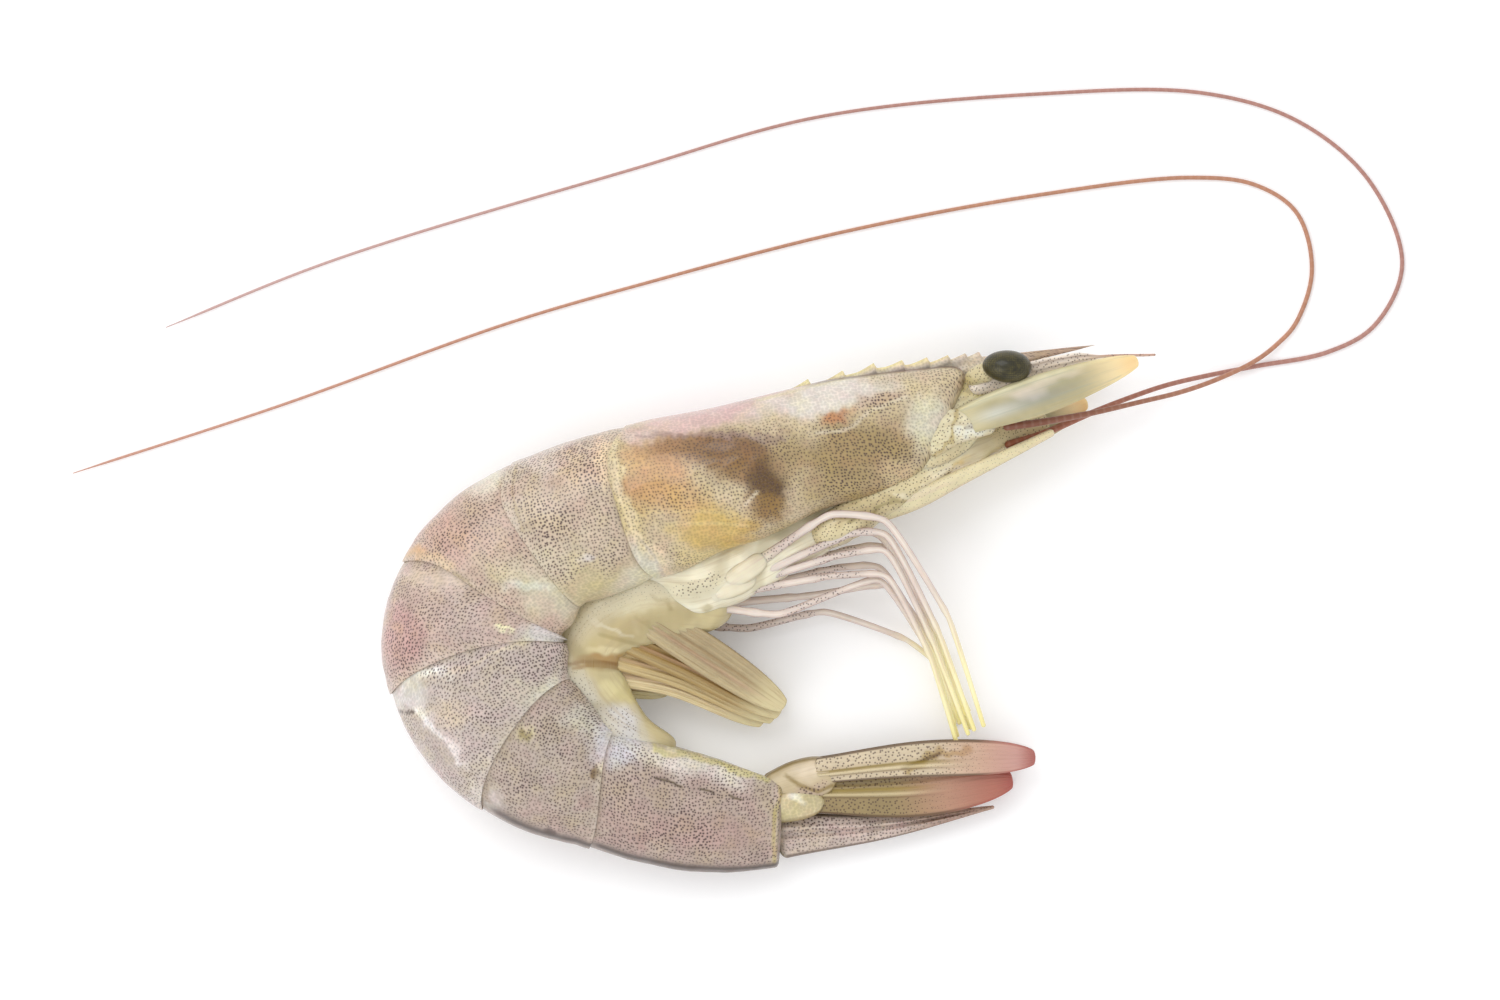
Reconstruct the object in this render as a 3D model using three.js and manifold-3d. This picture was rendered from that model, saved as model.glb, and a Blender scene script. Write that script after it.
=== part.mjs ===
// A raw, head-on, shell-on whiteleg shrimp lying curled on its left flank.
// Millimetres and degrees. +X is the way the head points and +Z is up from the table it lies on.
// The origin is the middle of the whole animal's outline, at table height.
import * as THREE from "three";
import { mergeVertices } from "three/addons/utils/BufferGeometryUtils.js";
import Module from "manifold-3d";

const wasm = await Module();
wasm.setup();

// Driving dimensions
const gap = 0.3; // clear space between neighbouring pieces
const lap = 1.5; // how far the back rim of one shell reaches over the next
const lip = 0.45; // thickness of that overlapping rim
const settle = 0.25; // how far the lower flank flattens where it rests
const neck = { x: -9.3, y: -2.4, depth: 19.6, width: 16.6 }; // where the head shell meets the first ring
const headHeading = 13.8; // the head's axis above +X
const rings = [
  { length: 12.2, bend: 8.0, depth: 20.0, width: 16.8, ease: 1 },
  { length: 10.9, bend: 35.5, depth: 22.4, width: 16.8, ease: 1 },
  { length: 8.5, bend: 42.0, depth: 23.4, width: 16.2, ease: 1 },
  { length: 11.3, bend: 38.0, depth: 20.4, width: 14.6, ease: 1 },
  { length: 10.5, bend: 22.2, depth: 15.5, width: 11.8, ease: 1 },
  { length: 22.1, bend: 17.5, depth: 11.4, width: 7.6, ease: 2.4 },
];
// The back rim of the head shell and of each ring in turn: how far it stands forward on the flank, at the
// belly, and more towards the back than the belly
const rims = [
  { flank: -3.4, belly: 0, lean: 0 },
  { flank: -2.6, belly: -0.3, lean: 0 },
  { flank: 0.6, belly: 0, lean: 1.0 },
  { flank: 1.3, belly: 3.0, lean: -1.0 },
  { flank: 2.0, belly: 2.6, lean: -1.5 },
  { flank: 0.2, belly: 2.0, lean: -1.2 },
  { flank: 0, belly: 0, lean: 0 },
];
const pleuraDrop = 0.7; // how far each ring's side flap bows below its joints
const bellyGroove = { depth: 1.8, spread: 0.36 }; // the hollow between the side flaps
const headShell = { front: 35.3, slant: 0.75, roundTo: 24 };
const rostrum = { root: 10, bend: 28.8, tip: 55.3, top: 9.4, droop: 0.135, thickness: 1.1, underside: 5.7 };
const teeth = { count: 8, first: 20.3, spacing: 4.5, closing: 0.22, height: 0.75, length: 1.6 };

const radians = THREE.MathUtils.degToRad;
const lerp = THREE.MathUtils.lerp;
const ramp = THREE.MathUtils.smoothstep; // 0 below the first limit, 1 above the second, smooth between
const up = new THREE.Vector3(0, 0, 1);

// The body's line: s is millimetres behind the neck, and below zero it runs straight on into the head.
function spine(s) {
  const at = { ...neck, heading: radians(headHeading + 180) };
  const walk = (distance, curl) => {
    const turned = at.heading + curl * distance;
    at.x += curl ? (Math.sin(turned) - Math.sin(at.heading)) / curl : Math.cos(at.heading) * distance;
    at.y += curl ? (Math.cos(at.heading) - Math.cos(turned)) / curl : Math.sin(at.heading) * distance;
    at.heading = turned;
  };
  if (s <= 0) walk(s, 0);
  let left = Math.max(s, 0);
  for (const ring of rings) {
    const step = Math.min(left, ring.length);
    const share = step / ring.length;
    walk(step, radians(ring.bend) / ring.length);
    at.depth = lerp(at.depth, ring.depth, share ** ring.ease);
    at.width = lerp(at.width, ring.width, share);
    left -= step;
  }
  walk(left, 0);
  at.z = at.width / 2 - settle;
  return at;
}

// A point of the body's cross-section: rise towards the back of the animal, side towards its upper flank.
function bodyPoint(out, s, rise, side) {
  const at = spine(s);
  return out.set(at.x + Math.sin(at.heading) * rise, at.y - Math.cos(at.heading) * rise, at.z + side);
}

// A smooth oval flattened at the flanks, hollowed along the belly. cosine and sine give the place round it.
function oval(cosine, sine, back, belly, half) {
  const height = cosine > 0 ? back : belly;
  let rise = Math.sign(cosine) * Math.abs(cosine) ** 0.92 * height;
  if (cosine < -1e-6) rise += bellyGroove.depth * Math.exp(-((sine / bellyGroove.spread) ** 2));
  return [rise, Math.sign(sine) * Math.abs(sine) ** 0.82 * half];
}

// How far forward a rim stands at the share r of the way round, from 1 on the back to -1 at the belly
function rimShift({ flank, belly, lean }, r) {
  return flank * (1 - r ** 4) + (belly * (1 - r)) / 2 + lean * r * (1 - r * r);
}

function solidOf(geometry) {
  const bare = geometry.clone();
  for (const name of ["normal", "uv"]) bare.deleteAttribute(name);
  const closed = mergeVertices(bare, 1e-4);
  return new wasm.Manifold(
    new wasm.Mesh({
      numProp: 3,
      vertProperties: new Float32Array(closed.attributes.position.array),
      triVerts: new Uint32Array(closed.index.array),
    }),
  );
}

// A capped cylinder bent to shape: place puts the point of row and angle, and nothing goes below the table.
function bent(sides, rows, place) {
  const geometry = new THREE.CylinderGeometry(1, 1, 1, sides, rows);
  const points = geometry.attributes.position;
  const at = new THREE.Vector3();
  for (let i = 0; i < points.count; i++) {
    place(at, Math.round((points.getY(i) + 0.5) * rows), points.getX(i), points.getZ(i));
    points.setXYZ(i, at.x, at.y, Math.max(at.z, 0));
  }
  return solidOf(geometry);
}

// A rod or blade carried along a route. width and thick give half its size at each share of the length.
function carried(route, sides, rows, width, thick, grow) {
  const curve = new THREE.CatmullRomCurve3(
    route.map((point) => new THREE.Vector3(...point)),
    false,
    "centripetal",
  );
  const across = new THREE.Vector3();
  const above = new THREE.Vector3();
  return bent(sides, rows, (out, row, cosine, sine) => {
    const share = row / rows;
    const along = curve.getTangentAt(share);
    across.crossVectors(along, up).normalize();
    above.crossVectors(across, along);
    const end = row === 0 ? -grow : row === rows ? grow : 0;
    out.copy(curve.getPointAt(share)).addScaledVector(along, end);
    out.addScaledVector(across, cosine * (width(share) + grow));
    out.addScaledVector(above, sine * (thick(share) + grow));
  });
}

// The outline of a leaf: narrow at its root and fullest at the share called belly. The blunter it is, the
// rounder it ends.
const leaf = (root, full, belly, blunt = 2.6) => (share) => {
  if (share < belly) return lerp(root, full, ramp(share, -0.1, belly));
  const past = (share - belly) / (1.02 - belly);
  return Math.max(full * Math.sqrt(1 - past ** blunt), 0.12);
};
const taper = (root, tip, power = 1) => (share) => lerp(root, tip, share ** power);

// One tail ring: a plug under the shell in front, its own shell, and a rim that laps over the next ring.
function ringShell(index) {
  const start = rings.slice(0, index).reduce((sum, ring) => sum + ring.length, 0);
  const end = start + rings[index].length;
  const last = index === rings.length - 1;
  const shellStart = start + lap + gap;
  const shellEnd = last ? end : end + lap;
  const tuck = 0.35; // how far the shell's front edge sinks under the rim in front
  const bands = 4;
  return (grow) => {
    const rows = [
      [start - grow, lip + gap],
      [shellStart, lip + gap],
    ];
    for (let band = 0; band <= bands; band++) {
      const share = band / bands;
      rows.push([lerp(shellStart, shellEnd, share), tuck * (1 - share)]);
    }
    if (last) rows.push([end + 0.5 + grow, 1.1]);
    else rows.push([shellEnd + grow, lip], [end - gap, lip]);
    return bent(24, rows.length - 1, (out, row, cosine, sine) => {
      const [plain, inset] = rows[row];
      const share = THREE.MathUtils.clamp((plain - shellStart) / (end - gap - shellStart), 0, 1);
      const s = plain - lerp(rimShift(rims[index], cosine), rimShift(rims[index + 1], cosine), share);
      const { depth, width } = spine(s);
      const half = depth / 2 - inset + grow;
      const drop = pleuraDrop * Math.sin(Math.PI * share);
      const [rise, side] = oval(cosine, sine, half, half + drop, width / 2 - inset + grow);
      bodyPoint(out, s, rise, side);
    });
  };
}

// The head shell's profile, at u millimetres in front of the neck
const headBack = (u) => 9.85 - 0.45 * ramp(u, 0, 10) - 2.5 * ramp(u, 22, 38);
const headBelly = (u) => 10.2 - 1.6 * ramp(u, 0, 8) - 2.1 * ramp(u, 9, 21) - 0.9 * ramp(u, 26, 36);
const headHalfWidth = (u) => 8.3 + 0.15 * ramp(u, -2, 6) - 3.8 * ramp(u, 9, 37);

// The thin toothed blade that stands along the head shell's back and runs out in front of the eyes
function rostrumBlade() {
  const top = (u) => rostrum.top - rostrum.droop * Math.max(u - rostrum.bend, 0);
  const outline = new THREE.Shape();
  outline.moveTo(rostrum.root, rostrum.underside);
  outline.lineTo(headShell.front, rostrum.underside - 1);
  outline.lineTo(headShell.front + 4, rostrum.underside);
  outline.lineTo(rostrum.tip, rostrum.underside);
  for (let tooth = teeth.count - 1; tooth >= 0; tooth--) {
    const u = teeth.first + teeth.spacing * tooth - teeth.closing * tooth ** 2;
    outline.lineTo(u + 0.2, top(u));
    outline.lineTo(u + 0.5, top(u) + teeth.height);
    outline.lineTo(u - teeth.length, top(u));
  }
  outline.lineTo(rostrum.root, top(rostrum.root) - 1);
  const blade = new THREE.ExtrudeGeometry(outline, { depth: rostrum.thickness, bevelEnabled: false });
  const points = blade.attributes.position;
  const at = new THREE.Vector3();
  for (let i = 0; i < points.count; i++) {
    const u = points.getX(i);
    const thin = 1 - 0.7 * ramp(u, rostrum.bend, rostrum.tip);
    bodyPoint(at, -u, points.getY(i), (points.getZ(i) - rostrum.thickness / 2) * thin);
    points.setXYZ(i, at.x, at.y, at.z);
  }
  return solidOf(blade);
}

function carapaceShell(grow) {
  const nose = [
    [headShell.front + grow, 3.2],
    [headShell.front - 0.2, 1.7],
    [headShell.front - 0.9, 0.7],
    [headShell.front - 2.4, 0.15],
  ];
  const bands = 9;
  const body = Array.from({ length: bands }, (_, band) => [lerp(30, 0, band / (bands - 1)), 0]);
  const rim = [
    [-lap - grow, 0],
    [-lap - grow, lip],
    [2 * gap, lip],
  ];
  const rows = [...nose, ...body, ...rim];
  const shell = bent(26, rows.length - 1, (out, row, cosine, sine) => {
    const [u, inset] = rows[row];
    const trim = grow - inset;
    const shift = rimShift(rims[0], cosine) * (1 - ramp(u, 2 * gap, 10));
    const [rise, side] = oval(cosine, sine, headBack(u) + trim, headBelly(u) + trim, headHalfWidth(u) + trim);
    const slant = headShell.slant * rise * ramp(u, headShell.roundTo, headShell.front);
    bodyPoint(out, -u - shift - slant, rise, side);
  });
  return grow ? shell : shell.add(rostrumBlade());
}

// Routes are points on the table plan with a height: above the table, or off the head's middle plane for
// what the head has in pairs. The near side is the upper flank.
const middle = neck.width / 2 - settle;
const near = (route) => route.map(([x, y, off]) => [x, y, middle + off]);
const far = (route, shift = 0) => route.map(([x, y, off]) => [x, y + shift, middle - off]);

const breastRoute = [
  [-9.8, -13.4, middle],
  [-5.0, -13.7, middle],
  [0.6, -11.9, middle],
  [7.0, -8.4, middle],
  [13.6, -5.2, middle],
];
const legSwells = 5;
const breastWidth = (v) => 2.3 + 0.4 * Math.abs(Math.sin(legSwells * Math.PI * v)) - v;
const breast = (grow) => carried(breastRoute, 12, 15, breastWidth, () => 4.5, grow);

// The ridge of flesh between the two rows of swimming legs
const bellyRoute = [
  [-8.2, -14.6, middle],
  [-13.2, -16.4, 7.9],
  [-16.6, -19.4, 7.6],
  [-17.3, -22.9, 7.2],
  [-15.2, -25.9, 6.6],
  [-11.6, -28.6, 6.1],
  [-8.4, -30.2, 5.6],
];
const bellyWidth = (v) => 3.1 - 0.9 * ramp(v, 0.2, 0.45) - 0.8 * ramp(v, 0.8, 1);
const belly = (grow) => carried(bellyRoute, 12, 12, bellyWidth, taper(3.0, 2.2), grow);

const faceRoute = [
  [19.5, 1.6, middle],
  [25.0, 6.6, middle],
  [30.5, 11.2, middle],
];
const face = (grow) => carried(faceRoute, 10, 4, taper(5.2, 1.6), taper(1.9, 1.2), grow);

const stalkRoute = [
  [27.6, 12.0, 1.6],
  [29.2, 12.9, 2.9],
  [30.6, 13.4, 3.7],
];
const stalk = (route) => (grow) => carried(route, 8, 3, taper(1.1, 1.5), taper(1.1, 1.5), grow);

const eye = { x: 32.3, y: 13.75, height: 4.2, long: 2.95, tall: 1.95, thick: 2.3, turn: -4 };
const eyeBall = (off) => (grow) => {
  const ball = new THREE.SphereGeometry(1, 14, 8);
  ball.scale(eye.long + grow, eye.tall + grow, eye.thick + grow);
  ball.rotateZ(radians(eye.turn));
  ball.translate(eye.x, eye.y, middle + off);
  return solidOf(ball);
};

const feelerBaseRoute = [
  [21.5, 5.2, 2.7],
  [25.5, 6.5, 2.7],
  [31.0, 6.6, 2.1],
];
const feelerBase = (route) => (grow) => carried(route, 10, 5, taper(3.1, 0.75, 1.4), taper(1.9, 0.7), grow);

const antennuleRoute = [
  [27.8, 11.0, 1.5],
  [35.0, 13.2, 1.7],
  [42.8, 14.9, 1.4],
  [50.2, 15.2, 1.1],
];
const antennule = (route) => (grow) => {
  const stout = (v) => lerp(lerp(1.25, 0.85, v / 0.6), lerp(0.25, 0.14, v), ramp(v, 0.58, 0.72));
  return carried(route, 6, 12, stout, stout, grow);
};

const scaleRoute = [
  [26.2, 7.6, 4.6],
  [34.5, 10.0, 4.4],
  [48.0, 14.7, 3.5],
];
const farScaleRoute = [
  [26.0, 3.9, 4.1],
  [33.0, 6.0, 4.3],
  [42.2, 9.6, 4.6],
];
const scaleWidth = leaf(1.5, 2.6, 0.5, 1.5);
const feelerScale = (route) => (grow) => carried(route, 10, 8, scaleWidth, taper(0.5, 0.3), grow);

// The long feelers, each a hand-laid route from the head, round its bend and back over the table
const longFeelerRoutes = {
  near: [
    [31.9, 6.5, 9.9],
    [36.4, 7.1, 9.1],
    [42.5, 8.2, 7.7],
    [48.6, 9.6, 6.0],
    [53.5, 10.8, 4.4],
    [57.8, 12.3, 2.9],
    [62.4, 14.5, 1.5],
    [65.2, 16.6, 0.8],
    [67.5, 19.2, 0.45],
    [69.4, 25.5, 0.4],
    [67.6, 32.4, 0.4],
    [62.6, 35.8, 0.4],
    [54.7, 36.7, 0.4],
    [36.4, 34.6, 0.4],
    [12.6, 30.1, 0.4],
    [-10.9, 24.0, 0.4],
    [-27.7, 19.1, 0.4],
    [-55.1, 9.2, 0.4],
    [-80.2, 1.0, 0.4],
  ],
  far: [
    [32.2, 4.3, 5.9],
    [36.4, 5.6, 5.2],
    [42.5, 8.2, 4.1],
    [47.0, 10.0, 2.9],
    [51.7, 11.6, 1.9],
    [56.3, 12.7, 1.1],
    [62.4, 13.9, 0.45],
    [71.5, 15.7, 0.4],
    [77.0, 18.9, 0.4],
    [80.3, 26.2, 0.4],
    [76.4, 36.2, 0.4],
    [67.9, 43.4, 0.4],
    [56.3, 46.9, 0.4],
    [36.4, 46.8, 0.4],
    [9.7, 44.0, 0.4],
    [-13.0, 37.6, 0.4],
    [-48.8, 26.7, 0.4],
    [-69.0, 18.6, 0.4],
  ],
};
const feelerRadius = taper(0.36, 0.16, 0.5);
const longFeeler = (route) => (grow) => carried(route, 4, 44, feelerRadius, feelerRadius, grow);

const jawLegRoute = [
  [15.0, -4.0, 1.7],
  [21.0, -2.3, 2.4],
  [27.0, 0.6, 2.2],
  [33.2, 3.6, 1.6],
  [38.0, 6.0, 1.1],
];
const jawLeg = (route) => (grow) => carried(route, 8, 10, taper(1.2, 0.4), taper(1.0, 0.4), grow);

// Walking legs: a hip on the table plan, then each stretch as a length and a heading
const legs = {
  leg_near_1: { hip: [2.5, -9.7], reach: [[10.5, 34], [6.6, -6], [13.9, -57], [14.0, -72]] },
  leg_near_2: { hip: [1.2, -11.8], reach: [[14.2, 24], [3.7, -2], [13.5, -62], [12.7, -70]] },
  leg_near_3: { hip: [-0.8, -12.8], reach: [[13.9, 17], [5.4, 7], [12.4, -63], [12.2, -69]] },
  leg_near_4: { hip: [-2.8, -13.8], reach: [[14.6, 10], [6.4, 1], [11.2, -62], [10.8, -73]] },
  leg_near_5: { hip: [-5.2, -14.6], reach: [[10.2, -8], [13.0, 20], [11.1, -56], [10.5, -72]] },
  leg_far_1: { hip: [2.6, -10.7], reach: [[10.0, 30], [6.0, -6], [13.4, -60], [10.9, -71]] },
  leg_far_2: { hip: [1.0, -12.6], reach: [[13.0, 20], [4.6, 6], [12.8, -61], [9.8, -66]] },
  leg_far_3: { hip: [-1.0, -13.6], reach: [[13.6, 14], [5.0, 2], [12.4, -58], [9.2, -70]] },
  leg_far_4: { hip: [-3.2, -14.8], reach: [[12.0, 5], [9.8, 8], [11.2, -55], [9.0, -68]] },
  leg_far_5: { hip: [-6.0, -17.0], reach: [[7.2, -6], [9.6, 13], [10.6, -19], [6.0, -40], [6.6, -80]] },
};
// Heights of hip, knee and foot for the foremost leg of a side, and the steps down to each next one
const legHeights = {
  near: { hip: 10.6, knee: 13.2, foot: 7.6, hipStep: 0.5, kneeStep: 1.05, footStep: 0.82 },
  far: { hip: 5.9, knee: 6.6, foot: 3.7, hipStep: 0.5, kneeStep: 1.02, footStep: 0.8 },
};
function legRoute({ hip, reach }, heights, rank) {
  const heightOf = (joint) => heights[joint] - rank * heights[joint + "Step"];
  const route = [[...hip, heightOf("hip")]];
  reach.forEach(([length, heading], joint) => {
    const [x, y] = route.at(-1);
    const drop = Math.max(joint - 1, 0) / (reach.length - 2);
    route.push([
      x + length * Math.cos(radians(heading)),
      y + length * Math.sin(radians(heading)),
      lerp(heightOf("knee"), heightOf("foot"), drop),
    ]);
  });
  return route;
}
const legWidth = (v) => lerp(lerp(1.0, 0.66, ramp(v, 0, 0.18)), 0.3, v);
const leg = (route) => (grow) => carried(route, 5, 12, legWidth, taper(0.44, 0.26), grow);

// Swimming legs: blades that sweep from the belly to one shared tip, stacked from the upper flank down
const swimmerets = [
  { root: [-12.0, -15.4], bow: 0.1, tip: [5.7, -27.1], full: 2.0 },
  { root: [-15.6, -17.2], bow: 0.6, tip: [5.2, -27.9], full: 2.0 },
  { root: [-17.8, -19.4], bow: 1.2, tip: [4.5, -28.5], full: 1.9 },
  { root: [-18.6, -21.8], bow: 1.5, tip: [3.2, -29.0], full: 1.7 },
  { root: [-18.0, -24.2], bow: 0.4, tip: [-8.2, -25.2], full: 1.5 },
];
// Heights of root and tip for the foremost swimming leg of a side, and the steps down to each next one
const swimmeretHeights = {
  near: { root: 11.6, rootStep: 0.95, tip: 6.8, tipStep: 1 },
  far: { root: 6.4, rootStep: 0.95, tip: 2.6, tipStep: 0.55 },
};
function swimmeret({ root, bow, tip, full }, rootHeight, tipHeight) {
  const [dx, dy] = [tip[0] - root[0], tip[1] - root[1]];
  const length = Math.hypot(dx, dy);
  const half = [
    (root[0] + tip[0]) / 2 - (bow * dy) / length,
    (root[1] + tip[1]) / 2 + (bow * dx) / length,
    (rootHeight + tipHeight) / 2,
  ];
  const route = [[...root, rootHeight], half, [...tip, tipHeight]];
  return (grow) => carried(route, 8, 8, leaf(1.6, full, 0.4), taper(0.42, 0.22), grow);
}

// The tail fan's blades, with their heights
const telsonRoute = [
  [6.2, -42.6, 3.3],
  [18.0, -41.6, 3.1],
  [31.0, -39.2, 2.8],
];
const telson = (grow) => carried(telsonRoute, 12, 8, taper(2.7, 0.2, 0.8), taper(1.5, 0.2, 0.8), grow);
const fanBaseRoute = (height) => [
  [5.0, -37.4, height],
  [8.4, -36.4, height],
  [11.6, -35.2, height + 0.2],
];
const fanBase = (height, thick) => (grow) =>
  carried(fanBaseRoute(height), 10, 5, leaf(1.7, 2.3, 0.5), () => thick, grow);
const outerFanRoute = (height) => [
  [10.4, -34.6, height],
  [22.0, -33.4, height],
  [35.9, -33.2, height - 0.6],
];
const outerFan = (height) => (grow) =>
  carried(outerFanRoute(height), 10, 8, leaf(1.3, 2.1, 0.6), taper(0.45, 0.25), grow);
const innerFanRoute = (height) => [
  [11.8, -37.4, height],
  [22.0, -37.6, height],
  [33.2, -35.9, height - 0.6],
];
const innerFan = (height) => (grow) =>
  carried(innerFanRoute(height), 10, 8, leaf(1.2, 2.5, 0.55), taper(0.45, 0.25), grow);

// Materials
const finish = (color, roughness) => new THREE.MeshStandardMaterial({ color, roughness, metalness: 0 });
const headFinish = finish("#c9b98f", 0.35);
const tailFinish = finish("#c4b5a8", 0.35);
const faceFinish = finish("#d6cfae", 0.4);
const eyeFinish = finish("#2c2d26", 0.15);
const feelerFinish = finish("#a8695c", 0.4);
const scaleFinish = finish("#d2c8a8", 0.3);
const legFinish = finish("#e6dcc4", 0.4);
const swimmeretFinish = finish("#bfa678", 0.35);
const fanFinish = finish("#bf9a80", 0.35);

// The scene graph. A piece is cut back from the grown form of each earlier piece that it meets, and keeps its
// largest lump, so that neighbours stay apart by the gap.
const shrimp = new THREE.Group();
const forms = new Map();

function geometryOf(solid) {
  const mesh = solid.getMesh();
  const points = new Float32Array(mesh.numVert * 3);
  for (let i = 0; i < mesh.numVert; i++) {
    for (let axis = 0; axis < 3; axis++) points[3 * i + axis] = mesh.vertProperties[mesh.numProp * i + axis];
  }
  const geometry = new THREE.BufferGeometry();
  geometry.setAttribute("position", new THREE.BufferAttribute(points, 3));
  geometry.setIndex(new THREE.BufferAttribute(mesh.triVerts, 1));
  return geometry;
}

function add(family, name, material, form, clearOf = []) {
  forms.set(name, form);
  let solid = form(0);
  for (const other of clearOf) solid = solid.subtract(forms.get(other)(gap));
  const lumps = solid.decompose().sort((a, b) => b.volume() - a.volume());
  const geometry = geometryOf(lumps[0]);
  geometry.computeBoundingBox();
  const centre = geometry.boundingBox.getCenter(new THREE.Vector3());
  geometry.translate(-centre.x, -centre.y, -centre.z);
  geometry.computeVertexNormals();
  const mesh = new THREE.Mesh(geometry, material);
  mesh.name = name;
  mesh.position.copy(centre);
  family.add(mesh);
}

function newFamily() {
  const group = new THREE.Group();
  shrimp.add(group);
  return group;
}

const shells = newFamily();
add(shells, "carapace", headFinish, carapaceShell);
const ringNames = rings.map((_, index) => "tail_ring_" + (index + 1));
ringNames.forEach((name, index) => add(shells, name, tailFinish, ringShell(index)));

const head = newFamily();
add(head, "breast", faceFinish, breast, ["carapace", "tail_ring_1"]);
add(head, "belly", faceFinish, belly, ["carapace", ...ringNames, "breast"]);
add(head, "face", faceFinish, face, ["carapace", "breast"]);
const sides = { near: [near, eye.height, 0, scaleRoute], far: [far, -eye.height, -2.2, farScaleRoute] };
for (const [side, [place, eyeOff, baseShift, bladeRoute]] of Object.entries(sides)) {
  const own = (names) => names.map((name) => name + "_" + side);
  const skull = ["carapace", "face"];
  add(head, "eye_" + side, eyeFinish, eyeBall(eyeOff));
  add(head, "eye_stalk_" + side, faceFinish, stalk(place(stalkRoute)), [...skull, ...own(["eye"])]);
  const base = feelerBase(place(feelerBaseRoute, baseShift));
  add(head, "feeler_base_" + side, faceFinish, base, [...skull, ...own(["eye_stalk"])]);
  const feelerMeets = [...skull, ...own(["eye", "eye_stalk", "feeler_base"])];
  add(head, "antennule_" + side, faceFinish, antennule(place(antennuleRoute)), feelerMeets);
  const scaleMeets = [...skull, ...own(["eye", "feeler_base", "antennule"])];
  add(head, "feeler_scale_" + side, scaleFinish, feelerScale(place(bladeRoute)), scaleMeets);
  const feelerForm = longFeeler(longFeelerRoutes[side]);
  add(head, "feeler_" + side, feelerFinish, feelerForm, own(["feeler_base", "feeler_scale"]));
  const jawMeets = ["breast", ...skull, ...own(["feeler_base", "feeler_scale", "feeler"])];
  add(head, "jaw_leg_" + side, legFinish, jawLeg(place(jawLegRoute)), jawMeets);
}

const limbs = newFamily();
const laid = ["carapace", "tail_ring_1", "breast", "belly"];
for (const [name, build] of Object.entries(legs)) {
  const [, side, number] = name.split("_");
  add(limbs, name, legFinish, leg(legRoute(build, legHeights[side], number - 1)), laid);
}
const bellies = ["carapace", "breast", "belly", ...ringNames.slice(0, 5), "leg_near_5", "leg_far_5"];
for (const [side, { root, rootStep, tip, tipStep }] of Object.entries(swimmeretHeights)) {
  swimmerets.forEach((build, index) => {
    const form = swimmeret(build, root - rootStep * index, tip - tipStep * index);
    add(limbs, "swimmeret_" + side + "_" + (index + 1), swimmeretFinish, form, bellies);
  });
}

const fan = newFamily();
add(fan, "telson", tailFinish, telson, ["tail_ring_6"]);
const fanHeights = {
  near: { base: 4.6, thick: 1.6, inner: 4.9, outer: 6.0 },
  far: { base: 1.4, thick: 1.1, inner: 1.6, outer: 0.6 },
};
for (const [side, height] of Object.entries(fanHeights)) {
  add(fan, "fan_base_" + side, fanFinish, fanBase(height.base, height.thick), ["tail_ring_6", "telson"]);
  const root = ["tail_ring_6", "telson", "fan_base_" + side];
  add(fan, "fan_inner_" + side, fanFinish, innerFan(height.inner), root);
  add(fan, "fan_outer_" + side, fanFinish, outerFan(height.outer), [...root, "fan_inner_" + side]);
}

// The outline's middle goes over the origin.
const outline = new THREE.Box3().setFromObject(shrimp).getCenter(new THREE.Vector3());
shrimp.position.set(-outline.x, -outline.y, 0);

export default shrimp;
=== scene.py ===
import math

import bpy
import numpy as np
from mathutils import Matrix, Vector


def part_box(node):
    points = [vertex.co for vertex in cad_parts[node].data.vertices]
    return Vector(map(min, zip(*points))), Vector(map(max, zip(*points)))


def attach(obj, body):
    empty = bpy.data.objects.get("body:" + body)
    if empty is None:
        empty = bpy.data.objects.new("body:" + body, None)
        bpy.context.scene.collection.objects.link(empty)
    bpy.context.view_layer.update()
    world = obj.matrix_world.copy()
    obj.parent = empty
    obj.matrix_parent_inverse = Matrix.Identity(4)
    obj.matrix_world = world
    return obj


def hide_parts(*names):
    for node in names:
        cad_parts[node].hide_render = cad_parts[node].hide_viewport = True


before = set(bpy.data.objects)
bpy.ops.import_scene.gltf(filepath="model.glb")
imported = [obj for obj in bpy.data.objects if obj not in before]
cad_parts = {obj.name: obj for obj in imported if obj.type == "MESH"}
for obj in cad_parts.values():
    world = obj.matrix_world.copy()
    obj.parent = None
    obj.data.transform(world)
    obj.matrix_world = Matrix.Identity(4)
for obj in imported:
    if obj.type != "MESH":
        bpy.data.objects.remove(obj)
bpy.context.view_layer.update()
print("frame loaded")

metre = 0.001  # one millimetre in metres
turn = 2 * math.pi


# Working out shapes
def ramp(x, low, high):  # 0 below low, 1 above high, smooth between
    t = np.clip((np.asarray(x, float) - low) / (high - low), 0, 1)
    return t * t * (3 - 2 * t)


def lerp(a, b, t):
    return a + (b - a) * t


def bell(x, middle, width):  # 1 at the middle, fading to nothing on both sides
    return np.exp(-(((x - middle) / width) ** 2))


def waver(points, size, seed):
    # Smooth wandering values, mostly between -1 and 1: sine waves of like lengths in all directions, added up
    rng = np.random.default_rng(seed)
    waves = 9
    heading = rng.normal(size=(waves, 3))
    heading /= np.linalg.norm(heading, axis=1)[:, None]
    stretch = rng.uniform(0.7, 1.5, waves)[:, None]
    phase = rng.uniform(0, turn, waves)
    return np.sin(points @ (heading * stretch).T * turn / size + phase).sum(-1) * 2 / waves


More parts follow.
